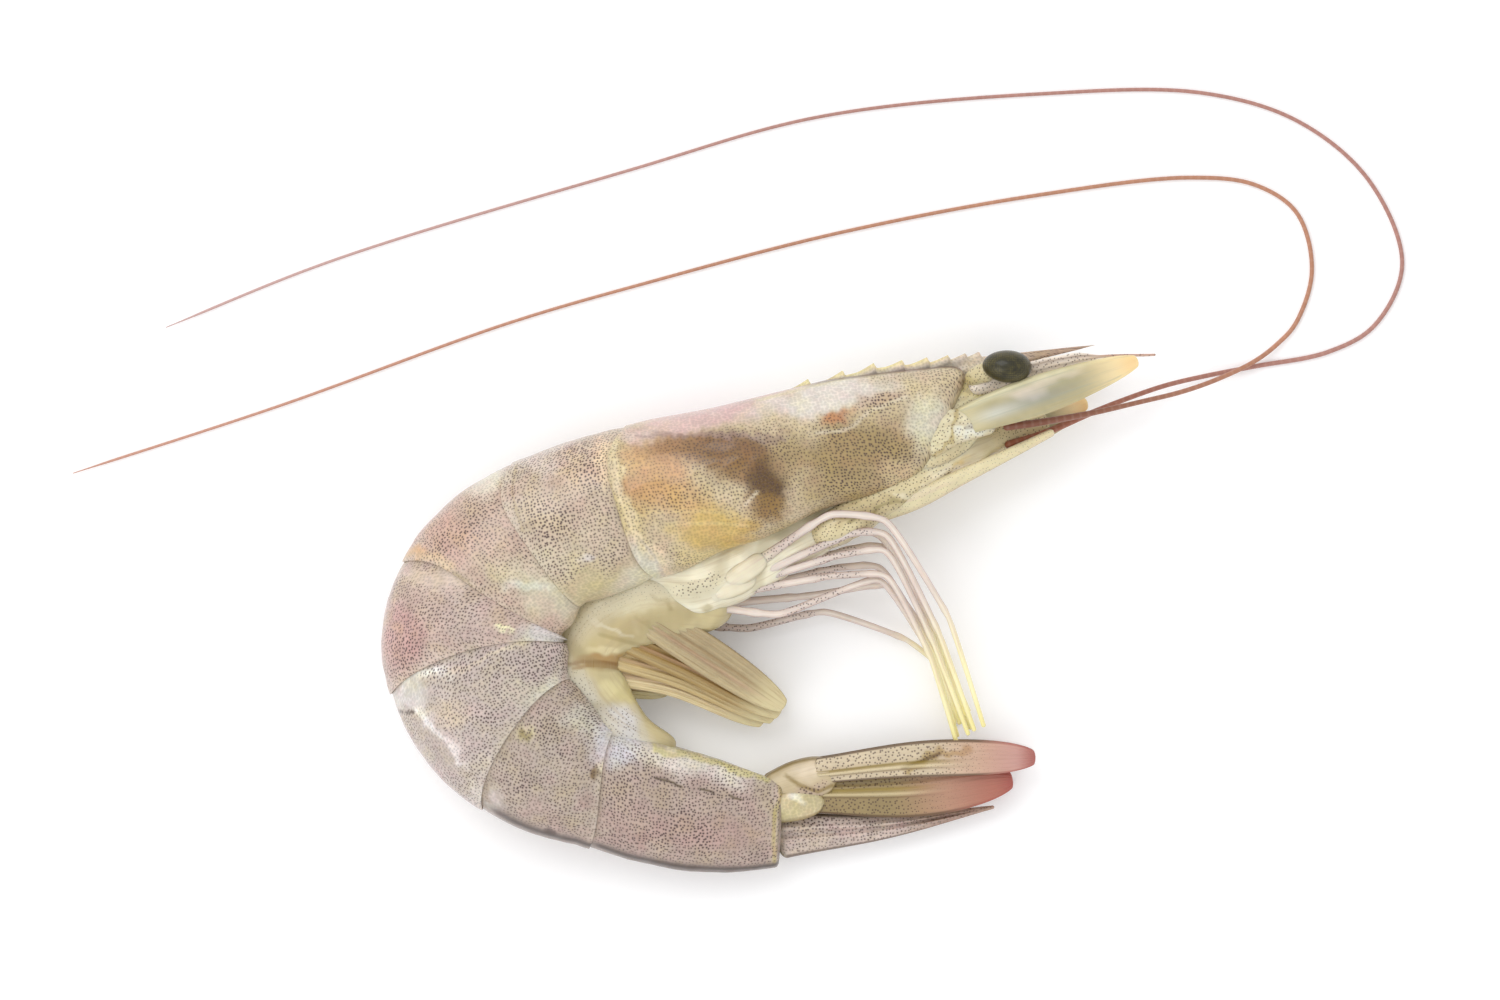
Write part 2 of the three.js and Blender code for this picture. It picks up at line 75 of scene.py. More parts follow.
def curveThrough(route, count):
    # A smooth line through the route's points, whose knots are spaced by the square root of the distances
    p = np.array(route, float)
    ends = np.vstack([2 * p[0] - p[1], p, 2 * p[-1] - p[-2]])
    knots = np.concatenate([[0], np.cumsum(np.sqrt(np.linalg.norm(np.diff(ends, axis=0), axis=1)))])
    t = np.linspace(knots[1], knots[-2], 60 * len(p))
    i = np.clip(np.searchsorted(knots, t, side="right") - 1, 1, len(p) - 1)
    k = [knots[i + j][:, None] for j in (-1, 0, 1, 2)]
    q = [ends[i + j] for j in (-1, 0, 1, 2)]
    t = t[:, None]

    def between(a, b, low, high):
        return a * (high - t) / (high - low) + b * (t - low) / (high - low)

    a = [between(q[j], q[j + 1], k[j], k[j + 1]) for j in range(3)]
    b = [between(a[0], a[1], k[0], k[2]), between(a[1], a[2], k[1], k[3])]
    fine = between(b[0], b[1], k[1], k[2])
    run = np.concatenate([[0], np.cumsum(np.linalg.norm(np.diff(fine, axis=0), axis=1))])
    even = np.linspace(0, run[-1], count)
    return np.stack([np.interp(even, run, fine[:, axis]) for axis in range(3)], 1), run[-1]


def carried(route, rows, sides, width, thick, relief=None, fullness=1.0):
    # An oval carried along a route: width and thick are half sizes at each share of the length. The rows
    # crowd towards the ends, which are rounded off. relief adds height to the face at a share and a place
    # across, and a fullness below 1 swells the oval towards a box.
    share = 0.5 - 0.5 * np.cos(np.linspace(0, math.pi, rows))
    centre, length = curveThrough(route, 400)
    even = np.linspace(0, 1, len(centre))
    middle = np.stack([np.interp(share, even, centre[:, axis]) for axis in range(3)], 1)
    along = np.gradient(centre, axis=0)
    along = np.stack([np.interp(share, even, along[:, axis]) for axis in range(3)], 1)
    along /= np.linalg.norm(along, axis=1)[:, None]
    across = np.cross(along, [0, 0, 1.0])
    across /= np.linalg.norm(across, axis=1)[:, None]
    above = np.cross(across, along)
    angle = np.linspace(0, turn, sides, endpoint=False)[None, :]
    s = share[:, None]
    wide, deep = width(s) + 0 * s, thick(s) + 0 * s
    near = np.minimum(s, 1 - s) * length / np.maximum(deep, 0.1)  # distance from an end in half thicknesses
    closing = np.sqrt(np.clip(1 - (1 - np.clip(near, 0, 1)) ** 2, 0.0004, 1))
    c, n = np.cos(angle), np.sin(angle)
    face = np.sign(n) * np.abs(n) ** fullness * deep * closing
    if relief:
        face = face + relief(s, c, n) * closing * np.abs(n)
    points = middle[:, None] + across[:, None] * (c * wide * closing)[..., None]
    points = points + above[:, None] * face[..., None]
    points[..., 2] = np.maximum(points[..., 2], 0.02)
    s, c, n = (np.broadcast_to(v, points.shape[:2]) for v in (s, c, n))
    return points, {"share": s, "across": c, "up": n, "length": length, "wide": wide}


# Colours
def linear(text):  # an sRGB hex colour as the linear values that Blender works in
    c = np.array([int(text[i : i + 2], 16) for i in (1, 3, 5)]) / 255
    return np.where(c <= 0.04045, c / 12.92, ((c + 0.055) / 1.055) ** 2.4)


def rgba(text):
    return (*linear(text), 1.0)


# The model was moved so that its middle is over the origin. The eye's place says by how much.
eyeHome = np.array([32.3, 13.75])
eyeLow, eyeHigh = (np.array(corner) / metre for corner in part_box("eye_near"))
moved = ((eyeLow + eyeHigh) / 2)[:2] - eyeHome

pixel = 0.12  # millimetres seen in one pixel of the picture
middlePixel = (737, 481.5)  # what lies over the origin of the drawing
brush = {
    "wander": ((0.7, 5.3), (0.3, 1.5)),  # how far painted edges stray, and over what length
    "clouds": ((0.05, 4.3), (0.035, 1.4)),  # how much the tone varies, and over what length
    "crisp": 4,  # strokes narrower than this many pixels don't stray
}


def plan(px, py):  # a place seen in the picture, on the table plan
    return np.stack([np.asarray(px) - middlePixel[0], middlePixel[1] - np.asarray(py)], -1) * pixel


def patchShare(at, mark):
    # How much of a soft oval patch lies at each place: x, y, half length, half width, turn in degrees
    px, py, long, wide, angle = mark
    d = at - plan(px, py)
    a = math.radians(angle)
    u = (d[..., 0] * math.cos(a) + d[..., 1] * math.sin(a)) / (long * pixel)
    v = (d[..., 1] * math.cos(a) - d[..., 0] * math.sin(a)) / (wide * pixel)
    return 1 - ramp(np.hypot(u, v), 0.45, 1.35)


def strokeShare(at, path, width):
    # How much of a soft line through the path's pixels lies at each place
    ends = plan(*np.array(path, float).T)
    nearest = np.full(at.shape[:-1], 1e9)
    for a, b in zip(ends[:-1], ends[1:]):
        run = b - a
        t = np.clip(((at - a) @ run) / (run @ run), 0, 1)
        nearest = np.minimum(nearest, np.linalg.norm(at - a - t[..., None] * run, axis=-1))
    return 1 - ramp(nearest, width * pixel / 4, width * pixel * 3 / 4)


def painted(points, seed, ground, patches=(), strokes=(), speckle=0.7, speckled=()):
    # Colour of each point: the ground, then soft patches and lines over it, with wavering edges. The fourth
    # value is how speckled the shell is there.
    at = points[..., :2]
    for (stray, size), first in zip(brush["wander"], (seed, seed + 4)):
        at = at + stray * np.stack([waver(points, size, first), waver(points, size, first + 1)], -1)
    colour = np.empty(points.shape[:-1] + (4,))
    colour[..., :3] = linear(ground)
    colour[..., 3] = speckle
    for *mark, tone, strength in patches:
        share = strength * patchShare(at, mark)[..., None]
        colour[..., :3] = lerp(colour[..., :3], linear(tone), share)
    for path, width, tone, strength in strokes:
        place = points[..., :2] if width < brush["crisp"] else at
        share = strength * strokeShare(place, path, width)[..., None]
        colour[..., :3] = lerp(colour[..., :3], linear(tone), share)
    for *mark, value, strength in speckled:
        colour[..., 3] = lerp(colour[..., 3], value, strength * patchShare(at, mark))
    colour[..., :3] *= 1 + sum(
        rate * waver(points, size, seed + 2 + k) for k, (rate, size) in enumerate(brush["clouds"])
    )[..., None]
    return np.clip(colour, 0, 1)


def laidOver(colour, tone, share, speckle=None):
    # Lays a tone over the colour by its share, and may change how speckled it is there
    colour[..., :3] = lerp(colour[..., :3], linear(tone), share[..., None])
    if speckle is not None:
        colour[..., 3] = lerp(colour[..., 3], speckle, share)


# Meshes
def surfaceOf(grid, colour, lie=None):
    # A closed tube from a grid of rows round it: quads between rows and a fan at each end's pole
    rows, sides = grid.shape[:2]
    index = np.arange(rows * sides).reshape(rows, sides)
    here, onward = index[:-1], index[1:]
    quads = np.stack([here, np.roll(here, -1, 1), np.roll(onward, -1, 1), onward], -1).reshape(-1, 4)
    first, last = rows * sides, rows * sides + 1
    fans = []
    for pole, ring, order in ((first, index[0], 1), (last, index[-1], -1)):
        fan = np.stack([np.full(sides, pole), np.roll(ring, -1), ring], -1)
        fans.append(fan[:, ::order])
    points = np.vstack([grid.reshape(-1, 3), grid[0].mean(0), grid[-1].mean(0)])
    colour = np.vstack([colour.reshape(-1, 4), colour[0].mean(0), colour[-1].mean(0)])
    if lie is None:
        lie = np.zeros(grid.shape)
    lie = np.vstack([lie.reshape(-1, 3), lie[0].mean(0), lie[-1].mean(0)])
    faces = [quads, np.vstack(fans)]
    a, b, c = (points[quads[:, i]] for i in range(3))
    if np.einsum("ij,ij->i", a - points.mean(0), np.cross(b - a, c - a)).sum() < 0:
        faces = [f[:, ::-1] for f in faces]
    return points, faces, colour, lie


def lieOver(grid, offset=0.0):
    # Where each point of a shell lies: millimetres along it from its middle row, and round it from the back
    steps = np.linalg.norm(np.diff(grid, axis=0), axis=-1)
    along = np.vstack([np.zeros((1, grid.shape[1])), np.cumsum(steps, 0)])
    along = along - along[len(along) // 2]
    hops = np.linalg.norm(np.roll(grid, -1, 1) - grid, axis=-1)
    around = np.cumsum(hops, 1) - hops
    around = np.where(around > hops.sum(1, keepdims=True) / 2, around - hops.sum(1, keepdims=True), around)
    return np.stack([along + offset, around, 0 * around], -1)


def newPiece(name, parts, material, slot, *nodes):
    # One mesh from one or more closed surfaces, put into the frame in place of its CAD nodes
    counts = np.cumsum([0] + [len(p[0]) for p in parts[:-1]])
    points = np.vstack([p[0] for p in parts])
    points[:, :2] += moved
    faces = [row for n, p in zip(counts, parts) for f in p[1] for row in (f + n).tolist()]
    mesh = bpy.data.meshes.new(name)
    mesh.from_pydata((points * metre).tolist(), [], faces)
    tint = mesh.attributes.new("tint", "FLOAT_COLOR", "POINT")
    tint.data.foreach_set("color", np.vstack([p[2] for p in parts]).ravel())
    lie = mesh.attributes.new("lie", "FLOAT_VECTOR", "POINT")
    lie.data.foreach_set("vector", (np.vstack([p[3] for p in parts]) * metre).ravel())
    mesh.polygons.foreach_set("use_smooth", np.ones(len(mesh.polygons), bool))
    mesh.update()
    piece = bpy.data.objects.new(name, mesh)
    bpy.context.scene.collection.objects.link(piece)
    mesh.materials.append(material)
    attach(piece, "root")
    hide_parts(*nodes)
    return piece


# Materials
def newMaterial(name, values):
    # A material whose shader has the values that are the same all over
    material = bpy.data.materials.new(name)
    material.use_nodes = True
    tree = material.node_tree
    shader = tree.nodes["Principled BSDF"]
    for socket, value in values.items():
        shader.inputs[socket].default_value = value
    return material, tree, shader


def add(tree, kind, links=None, **settings):
    # Adds one node. settings are its properties, and links are its inputs: values, or sockets to link from
    node = tree.nodes.new("ShaderNode" + kind)
    for key, value in settings.items():
        setattr(node, key, value)
    for key, value in (links or {}).items():
        if isinstance(value, bpy.types.NodeSocket):
            tree.links.new(value, node.inputs[key])
        else:
            node.inputs[key].default_value = value
    return node


def perMetre(size):  # a pattern's scale, from the size in millimetres of one of its cells
    return 1 / (size * metre)


# Numbered sockets: of a Mix, 0 is the share, 6 and 7 are the colours and output 2 is the blend. Of a
# MapRange, 0 is the value, 1 and 2 are the ends between which it runs, and 3 and 4 what they become.
blend = {"data_type": "RGBA"}
flat = {"voronoi_dimensions": "2D"}
times = {"operation": "MULTIPLY"}
scaled = {"operation": "SCALE"}

# Raw shrimp shell, grown: thin clear horn full of colour cells over pale flesh, wet from the ice. It gives
# the eye a soft grey-pink glow with fine purple-brown dots and a moist, broken shine.
shellLook = {
    "dot": 0.41,  # millimetres between colour cells
    "fineDot": 0.23,
    "dotTone": "#432b2b",
    "fineTone": "#8a6f66",
    "dotStrength": 0.9,
    "roughness": (0.36, 0.5),  # in the hollows and on the heights of the clouds
    "yellowed": (1.02, 1.02, 0.9, 1),  # what multiplies the flesh where it turns yellower, and pinker
    "pinked": (1.03, 0.96, 1.0, 1),
    "shader": {
        "IOR": 1.4,
        "Subsurface Weight": 0.25,
        "Subsurface Radius": (1.0, 0.72, 0.5),
        "Subsurface Scale": 1.2 * metre,
        "Coat Weight": 0.55,
        "Coat Roughness": 0.12,
    },
}


def wetShell(name, look):
    material, tree, shader = newMaterial(name, look["shader"])
    tint = add(tree, "Attribute", attribute_name="tint")
    lie = add(tree, "Attribute", attribute_name="lie")
    spot = add(tree, "TexCoord").outputs["Object"]
    # The cells wander a little from even spacing
    bend = add(tree, "TexNoise", {"Vector": spot, "Scale": perMetre(2.4), "Detail": 1.0})
    shove = add(tree, "VectorMath", {0: bend.outputs["Color"], 1: (0.4 * metre,) * 3}, **times)
    loose = add(tree, "VectorMath", {0: lie.outputs["Vector"], 1: shove.outputs[0]}).outputs[0]
    cells = {"Vector": loose, "Scale": perMetre(look["dot"]), "Randomness": 0.7}
    dots = add(tree, "TexVoronoi", cells, **flat)
    crowd = add(tree, "TexNoise", {"Vector": spot, "Scale": perMetre(5.0), "Detail": 2.0})
    dense = add(tree, "MapRange", {0: crowd.outputs["Fac"], 1: 0.32, 2: 0.68, 3: 0.22, 4: 0.37})
    reach = add(tree, "Math", {0: tint.outputs["Alpha"], 1: dense.outputs[0]}, **times)
    inside = add(tree, "Math", {0: reach.outputs[0], 1: dots.outputs["Distance"]}, operation="SUBTRACT")
    dot = add(tree, "MapRange", {0: inside.outputs[0], 1: 0.0, 2: 0.13, 3: 0.0, 4: look["dotStrength"]})
    fine = add(tree, "TexVoronoi", {"Vector": loose, "Scale": perMetre(look["fineDot"])}, **flat)
    fineIn = add(tree, "MapRange", {0: fine.outputs["Distance"], 1: 0.34, 2: 0.12, 3: 0.0, 4: 0.3})
    fineDot = add(tree, "Math", {0: fineIn.outputs[0], 1: tint.outputs["Alpha"]}, **times)
    # Cloudy flesh under the shell
    cloud = add(tree, "TexNoise", {"Vector": spot, "Scale": perMetre(1.7), "Detail": 4.0, "Roughness": 0.6})
    shade = add(tree, "MapRange", {0: cloud.outputs["Fac"], 1: 0.3, 2: 0.7, 3: 0.81, 4: 0.94})
    shaded = add(tree, "VectorMath", {0: tint.outputs["Color"], 3: shade.outputs[0]}, **scaled)
    # The flesh turns a little yellower and pinker from place to place, and pales between the cells
    drift = add(tree, "TexNoise", {"Vector": spot, "Scale": perMetre(2.6), "Detail": 3.0})
    yellow = add(tree, "MapRange", {0: drift.outputs["Fac"], 1: 0.5, 2: 0.68, 3: 0.0, 4: 1.0})
    pink = add(tree, "MapRange", {0: drift.outputs["Fac"], 1: 0.5, 2: 0.32, 3: 0.0, 4: 1.0})
    warm = add(tree, "Mix", {0: yellow.outputs[0], 6: (1, 1, 1, 1), 7: look["yellowed"]}, **blend)
    rosy = add(tree, "Mix", {0: pink.outputs[0], 6: warm.outputs[2], 7: look["pinked"]}, **blend)
    turned = add(tree, "VectorMath", {0: shaded.outputs[0], 1: rosy.outputs[2]}, **times)
    between = add(tree, "MapRange", {0: dots.outputs["Distance"], 1: 0.34, 2: 0.62, 3: 1.0, 4: 1.2})
    flesh = add(tree, "VectorMath", {0: turned.outputs[0], 3: between.outputs[0]}, **scaled)
    soft = add(tree, "Mix", {0: fineDot.outputs[0], 6: flesh.outputs[0], 7: rgba(look["fineTone"])}, **blend)
    speckled = add(tree, "Mix", {0: dot.outputs[0], 6: soft.outputs[2], 7: rgba(look["dotTone"])}, **blend)
    tree.links.new(speckled.outputs[2], shader.inputs["Base Color"])
    # Shallow pits over the cells, and the slow waves of thin horn
    skin = add(tree, "TexNoise", {"Vector": spot, "Scale": perMetre(0.5), "Detail": 3.0})
    pits = add(tree, "Bump", {"Strength": 0.16, "Distance": 0.12 * metre, "Height": dots.outputs["Distance"]})
    bump = add(tree, "Bump", {"Strength": 0.22, "Distance": 0.1 * metre, "Height": skin.outputs["Fac"]})
    tree.links.new(pits.outputs[0], bump.inputs["Normal"])
    tree.links.new(bump.outputs[0], shader.inputs["Normal"])
    low, high = look["roughness"]
    gloss = add(tree, "MapRange", {0: cloud.outputs["Fac"], 1: 0.3, 2: 0.7, 3: low, 4: high})
    tree.links.new(gloss.outputs[0], shader.inputs["Roughness"])
    return material


headShellLook = wetShell("raw_shrimp_head_shell", shellLook)
tailShellLook = wetShell("raw_shrimp_tail_shell", shellLook)

# Raw limb, grown: a thin clear skin over white flesh. It gives the eye a waxy cream with faint lengthwise
# streaks.
limbLook = {
    "streak": 0.35,  # millimetres across and along a streak, and its strength
    "run": 7.0,
    "streaked": 0.5,
    "dot": 0.46,
    "dotTone": shellLook["dotTone"],
    "roughness": (0.26, 0.46),
    "glow": 0.4,
    "shader": {
        "IOR": 1.4,
        "Subsurface Radius": (1.0, 0.8, 0.6),
        "Subsurface Scale": 0.9 * metre,
        "Coat Weight": 0.3,
        "Coat Roughness": 0.15,
    },
}


def wetLimb(name, dark, **changes):
    look = {**limbLook, **changes}
    material, tree, shader = newMaterial(name, {**look["shader"], "Subsurface Weight": look["glow"]})
    tint = add(tree, "Attribute", attribute_name="tint")
    lie = add(tree, "Attribute", attribute_name="lie")
    # Streaks: a noise stretched along the limb
    slim = (1 / look["run"], 1 / look["streak"], 1 / look["streak"])
    long = add(tree, "VectorMath", {0: lie.outputs["Vector"], 1: slim}, **times)
    stretched = {"Vector": long.outputs[0], "Scale": 1 / metre, "Detail": 3.0, "Roughness": 0.6}
    grain = add(tree, "TexNoise", stretched)
    streak = add(tree, "MapRange", {0: grain.outputs["Fac"], 1: 0.5, 2: 0.75, 3: 0.0, 4: look["streaked"]})
    streaked = add(tree, "Mix", {0: streak.outputs[0], 6: tint.outputs["Color"], 7: rgba(dark)}, **blend)
    cells = {"Vector": lie.outputs["Vector"], "Scale": perMetre(look["dot"]), "Randomness": 0.9}
    dots = add(tree, "TexVoronoi", cells, **flat)
    reach = add(tree, "Math", {0: tint.outputs["Alpha"], 1: 0.36}, **times)
    inside = add(tree, "Math", {0: reach.outputs[0], 1: dots.outputs["Distance"]}, operation="SUBTRACT")
    dot = add(tree, "MapRange", {0: inside.outputs[0], 1: 0.0, 2: 0.16, 3: 0.0, 4: 0.75})
    dotted = add(tree, "Mix", {0: dot.outputs[0], 6: streaked.outputs[2], 7: rgba(look["dotTone"])}, **blend)
    tree.links.new(dotted.outputs[2], shader.inputs["Base Color"])
    bump = add(tree, "Bump", {"Strength": 0.3, "Distance": 0.12 * metre, "Height": grain.outputs["Fac"]})
    tree.links.new(bump.outputs[0], shader.inputs["Normal"])
    low, high = look["roughness"]
    gloss = add(tree, "MapRange", {0: grain.outputs["Fac"], 1: 0.3, 2: 0.7, 3: low, 4: high})
    tree.links.new(gloss.outputs[0], shader.inputs["Roughness"])
    return material


# The same wet skin: plain on the legs, duller between the folds of the face, with fine brown pleats on the
# swimming legs, with close hard lines on the tail fan, and clear with long greenish ones on the feeler blades
legSkin = wetLimb("raw_shrimp_leg_skin", "#cdaea6")
faceSkin = wetLimb("raw_shrimp_face_skin", "#b39f7c")
swimmeretSkin = wetLimb("raw_shrimp_swimmeret_skin", "#8a6a4a", streak=0.3, glow=0.25)
fanSkin = wetLimb("raw_shrimp_fan_horn", "#7d6144", streak=0.22, streaked=0.2, glow=0.15)
scaleHorn = wetLimb("raw_shrimp_feeler_scale_horn", "#9aa093", streak=0.5, run=16.0, glow=0.45)


# Feeler, grown: a horn whip of short rings. It gives the eye a fine pinkish-brown line with a dull shine.
def ringedFeeler(name):
    material, tree, shader = newMaterial(name, {"Roughness": 0.42, "Coat Weight": 0.15})
    tint = add(tree, "Attribute", attribute_name="tint")
    lie = add(tree, "Attribute", attribute_name="lie")
    # Rings 0.5 mm apart, drawn a little coarser than the real ones so that they show
    wave = add(tree, "TexWave", {"Vector": lie.outputs["Vector"], "Scale": perMetre(0.5) / 6.4})
    pale = add(tree, "MapRange", {0: wave.outputs["Fac"], 1: 0.6, 2: 1.0, 3: 0.0, 4: 0.1})
    ringed = add(tree, "Mix", {0: pale.outputs[0], 6: tint.outputs["Color"], 7: rgba("#d9b8a6")}, **blend)
    tree.links.new(ringed.outputs[2], shader.inputs["Base Color"])
    bump = add(tree, "Bump", {"Strength": 0.4, "Distance": 0.05 * metre, "Height": wave.outputs["Fac"]})
    tree.links.new(bump.outputs[0], shader.inputs["Normal"])
    return material


feelerHorn = ringedFeeler("raw_shrimp_feeler_horn")


# Compound eye, grown: thousands of lenses over black-green pigment. It gives the eye a deep, satin bead.
def facetedEye(name):
    polish = {"Roughness": 0.38, "IOR": 1.38, "Coat Weight": 0.25, "Coat Roughness": 0.08}
    material, tree, shader = newMaterial(name, polish)
    spot = add(tree, "TexCoord").outputs["Object"]
    facets = add(tree, "TexVoronoi", {"Vector": spot, "Scale": perMetre(0.22), "Randomness": 0.25})
    cloud = add(tree, "TexNoise", {"Vector": spot, "Scale": perMetre(1.2), "Detail": 3.0})
    deep = add(tree, "MapRange", {0: cloud.outputs["Fac"], 1: 0.35, 2: 0.65, 3: 0.0, 4: 1.0})
    tone = add(tree, "Mix", {0: deep.outputs[0], 6: rgba("#2f2b0f"), 7: rgba("#524a22")}, **blend)
    net = add(tree, "MapRange", {0: facets.outputs["Distance"], 1: 0.3, 2: 0.6, 3: 0.0, 4: 0.6})
    netted = add(tree, "Mix", {0: net.outputs[0], 6: tone.outputs[2], 7: rgba("#171710")}, **blend)
    tree.links.new(netted.outputs[2], shader.inputs["Base Color"])
    domes = {"Strength": 0.35, "Distance": 0.05 * metre, "Height": facets.outputs["Distance"]}
    bump = add(tree, "Bump", domes, invert=True)
    tree.links.new(bump.outputs[0], shader.inputs["Normal"])
    return material


eyeLook = facetedEye("raw_shrimp_compound_eye")
print("materials made")

# The body
body = {
    "neck": (-9.3, -2.4),
    "depth": 19.6,
    "width": 16.6,
    "heading": 13.8,  # the head's axis above +X, in degrees
    "settle": 0.25,  # how far the lower flank flattens where it rests
    "gap": 0.3,
    "lap": 1.5,
    "lip": 0.45,
}
# Each ring's length, bend in degrees, depth and width at its end, and how late the depth changes
rings = np.array(
    [
        (12.2, 8.0, 20.0, 16.8, 1),
        (10.9, 35.5, 22.4, 16.8, 1),
        (8.5, 42.0, 23.4, 16.2, 1),
        (11.3, 38.0, 20.4, 14.6, 1),
        (10.5, 22.2, 15.5, 11.8, 1),
        (22.1, 17.5, 11.4, 7.6, 2.4),
    ]
)
# How far each back rim stands forward on the flank, at the belly, and more towards the back than the belly
rims = [
    (-3.4, 0, 0),
    (-2.6, -0.3, 0),
    (0.6, 0, 1.0),
    (1.3, 3.0, -1.0),
    (2.0, 2.6, -1.5),
    (0.2, 2.0, -1.2),
    (0, 0, 0),
]
ringStart = np.concatenate([[0], np.cumsum(rings[:, 0])])
startHeading = math.radians(body["heading"] + 180) + np.concatenate([[0], np.cumsum(np.radians(rings[:, 1]))])
curls = np.radians(rings[:, 1]) / rings[:, 0]
startDepth = np.concatenate([[body["depth"]], rings[:, 2]])
startWidth = np.concatenate([[body["width"]], rings[:, 3]])
corners = [np.array(body["neck"])]
for k in range(len(rings)):
    before, after = startHeading[k], startHeading[k + 1]
    step = [(math.sin(after) - math.sin(before)) / curls[k], (math.cos(before) - math.cos(after)) / curls[k]]
    corners.append(corners[-1] + step)
corners = np.array(corners)


def spine(s):
    # The body's line: straight into the head for s below 0, then one arc for each ring
    s = np.asarray(s, float)
    k = np.clip(np.searchsorted(ringStart, s, side="right") - 1, 0, len(rings) - 1)
    past = np.clip(s - ringStart[-1], 0, None)
    inHead = np.minimum(s, 0)
    d = np.clip(s, 0, ringStart[-1]) - ringStart[k]
    h0 = startHeading[k]
    h = h0 + curls[k] * d
    x = corners[k, 0] + (np.sin(h) - np.sin(h0)) / curls[k] + np.cos(h) * (past + inHead)
    y = corners[k, 1] + (np.cos(h0) - np.cos(h)) / curls[k] + np.sin(h) * (past + inHead)
    share = d / rings[k, 0]
    depth = lerp(startDepth[k], startDepth[k + 1], share ** rings[k, 4])
    width = lerp(startWidth[k], startWidth[k + 1], share)
    return x, y, h, depth, width


def bodyPoint(s, rise, side):
    x, y, h, _, width = spine(s)
    z = np.maximum(width / 2 - body["settle"] + side, 0)
    return np.stack(np.broadcast_arrays(x + np.sin(h) * rise, y - np.cos(h) * rise, z), -1)


groove = {"depth": 1.8, "spread": 0.36}  # the hollow between the side flaps


def oval(c, n, back, belly, half):
    # A smooth oval flattened at the flanks and hollowed along the belly
    rise = np.sign(c) * np.abs(c) ** 0.92 * np.where(c > 0, back, belly)
    rise = rise + np.where(c < 0, groove["depth"] * np.exp(-((n / groove["spread"]) ** 2)), 0)
    return rise, np.sign(n) * np.abs(n) ** 0.82 * half


def rimShift(rim, r):
    flank, belly, lean = rim
    return flank * (1 - r**4) + belly * (1 - r) / 2 + lean * r * (1 - r * r)


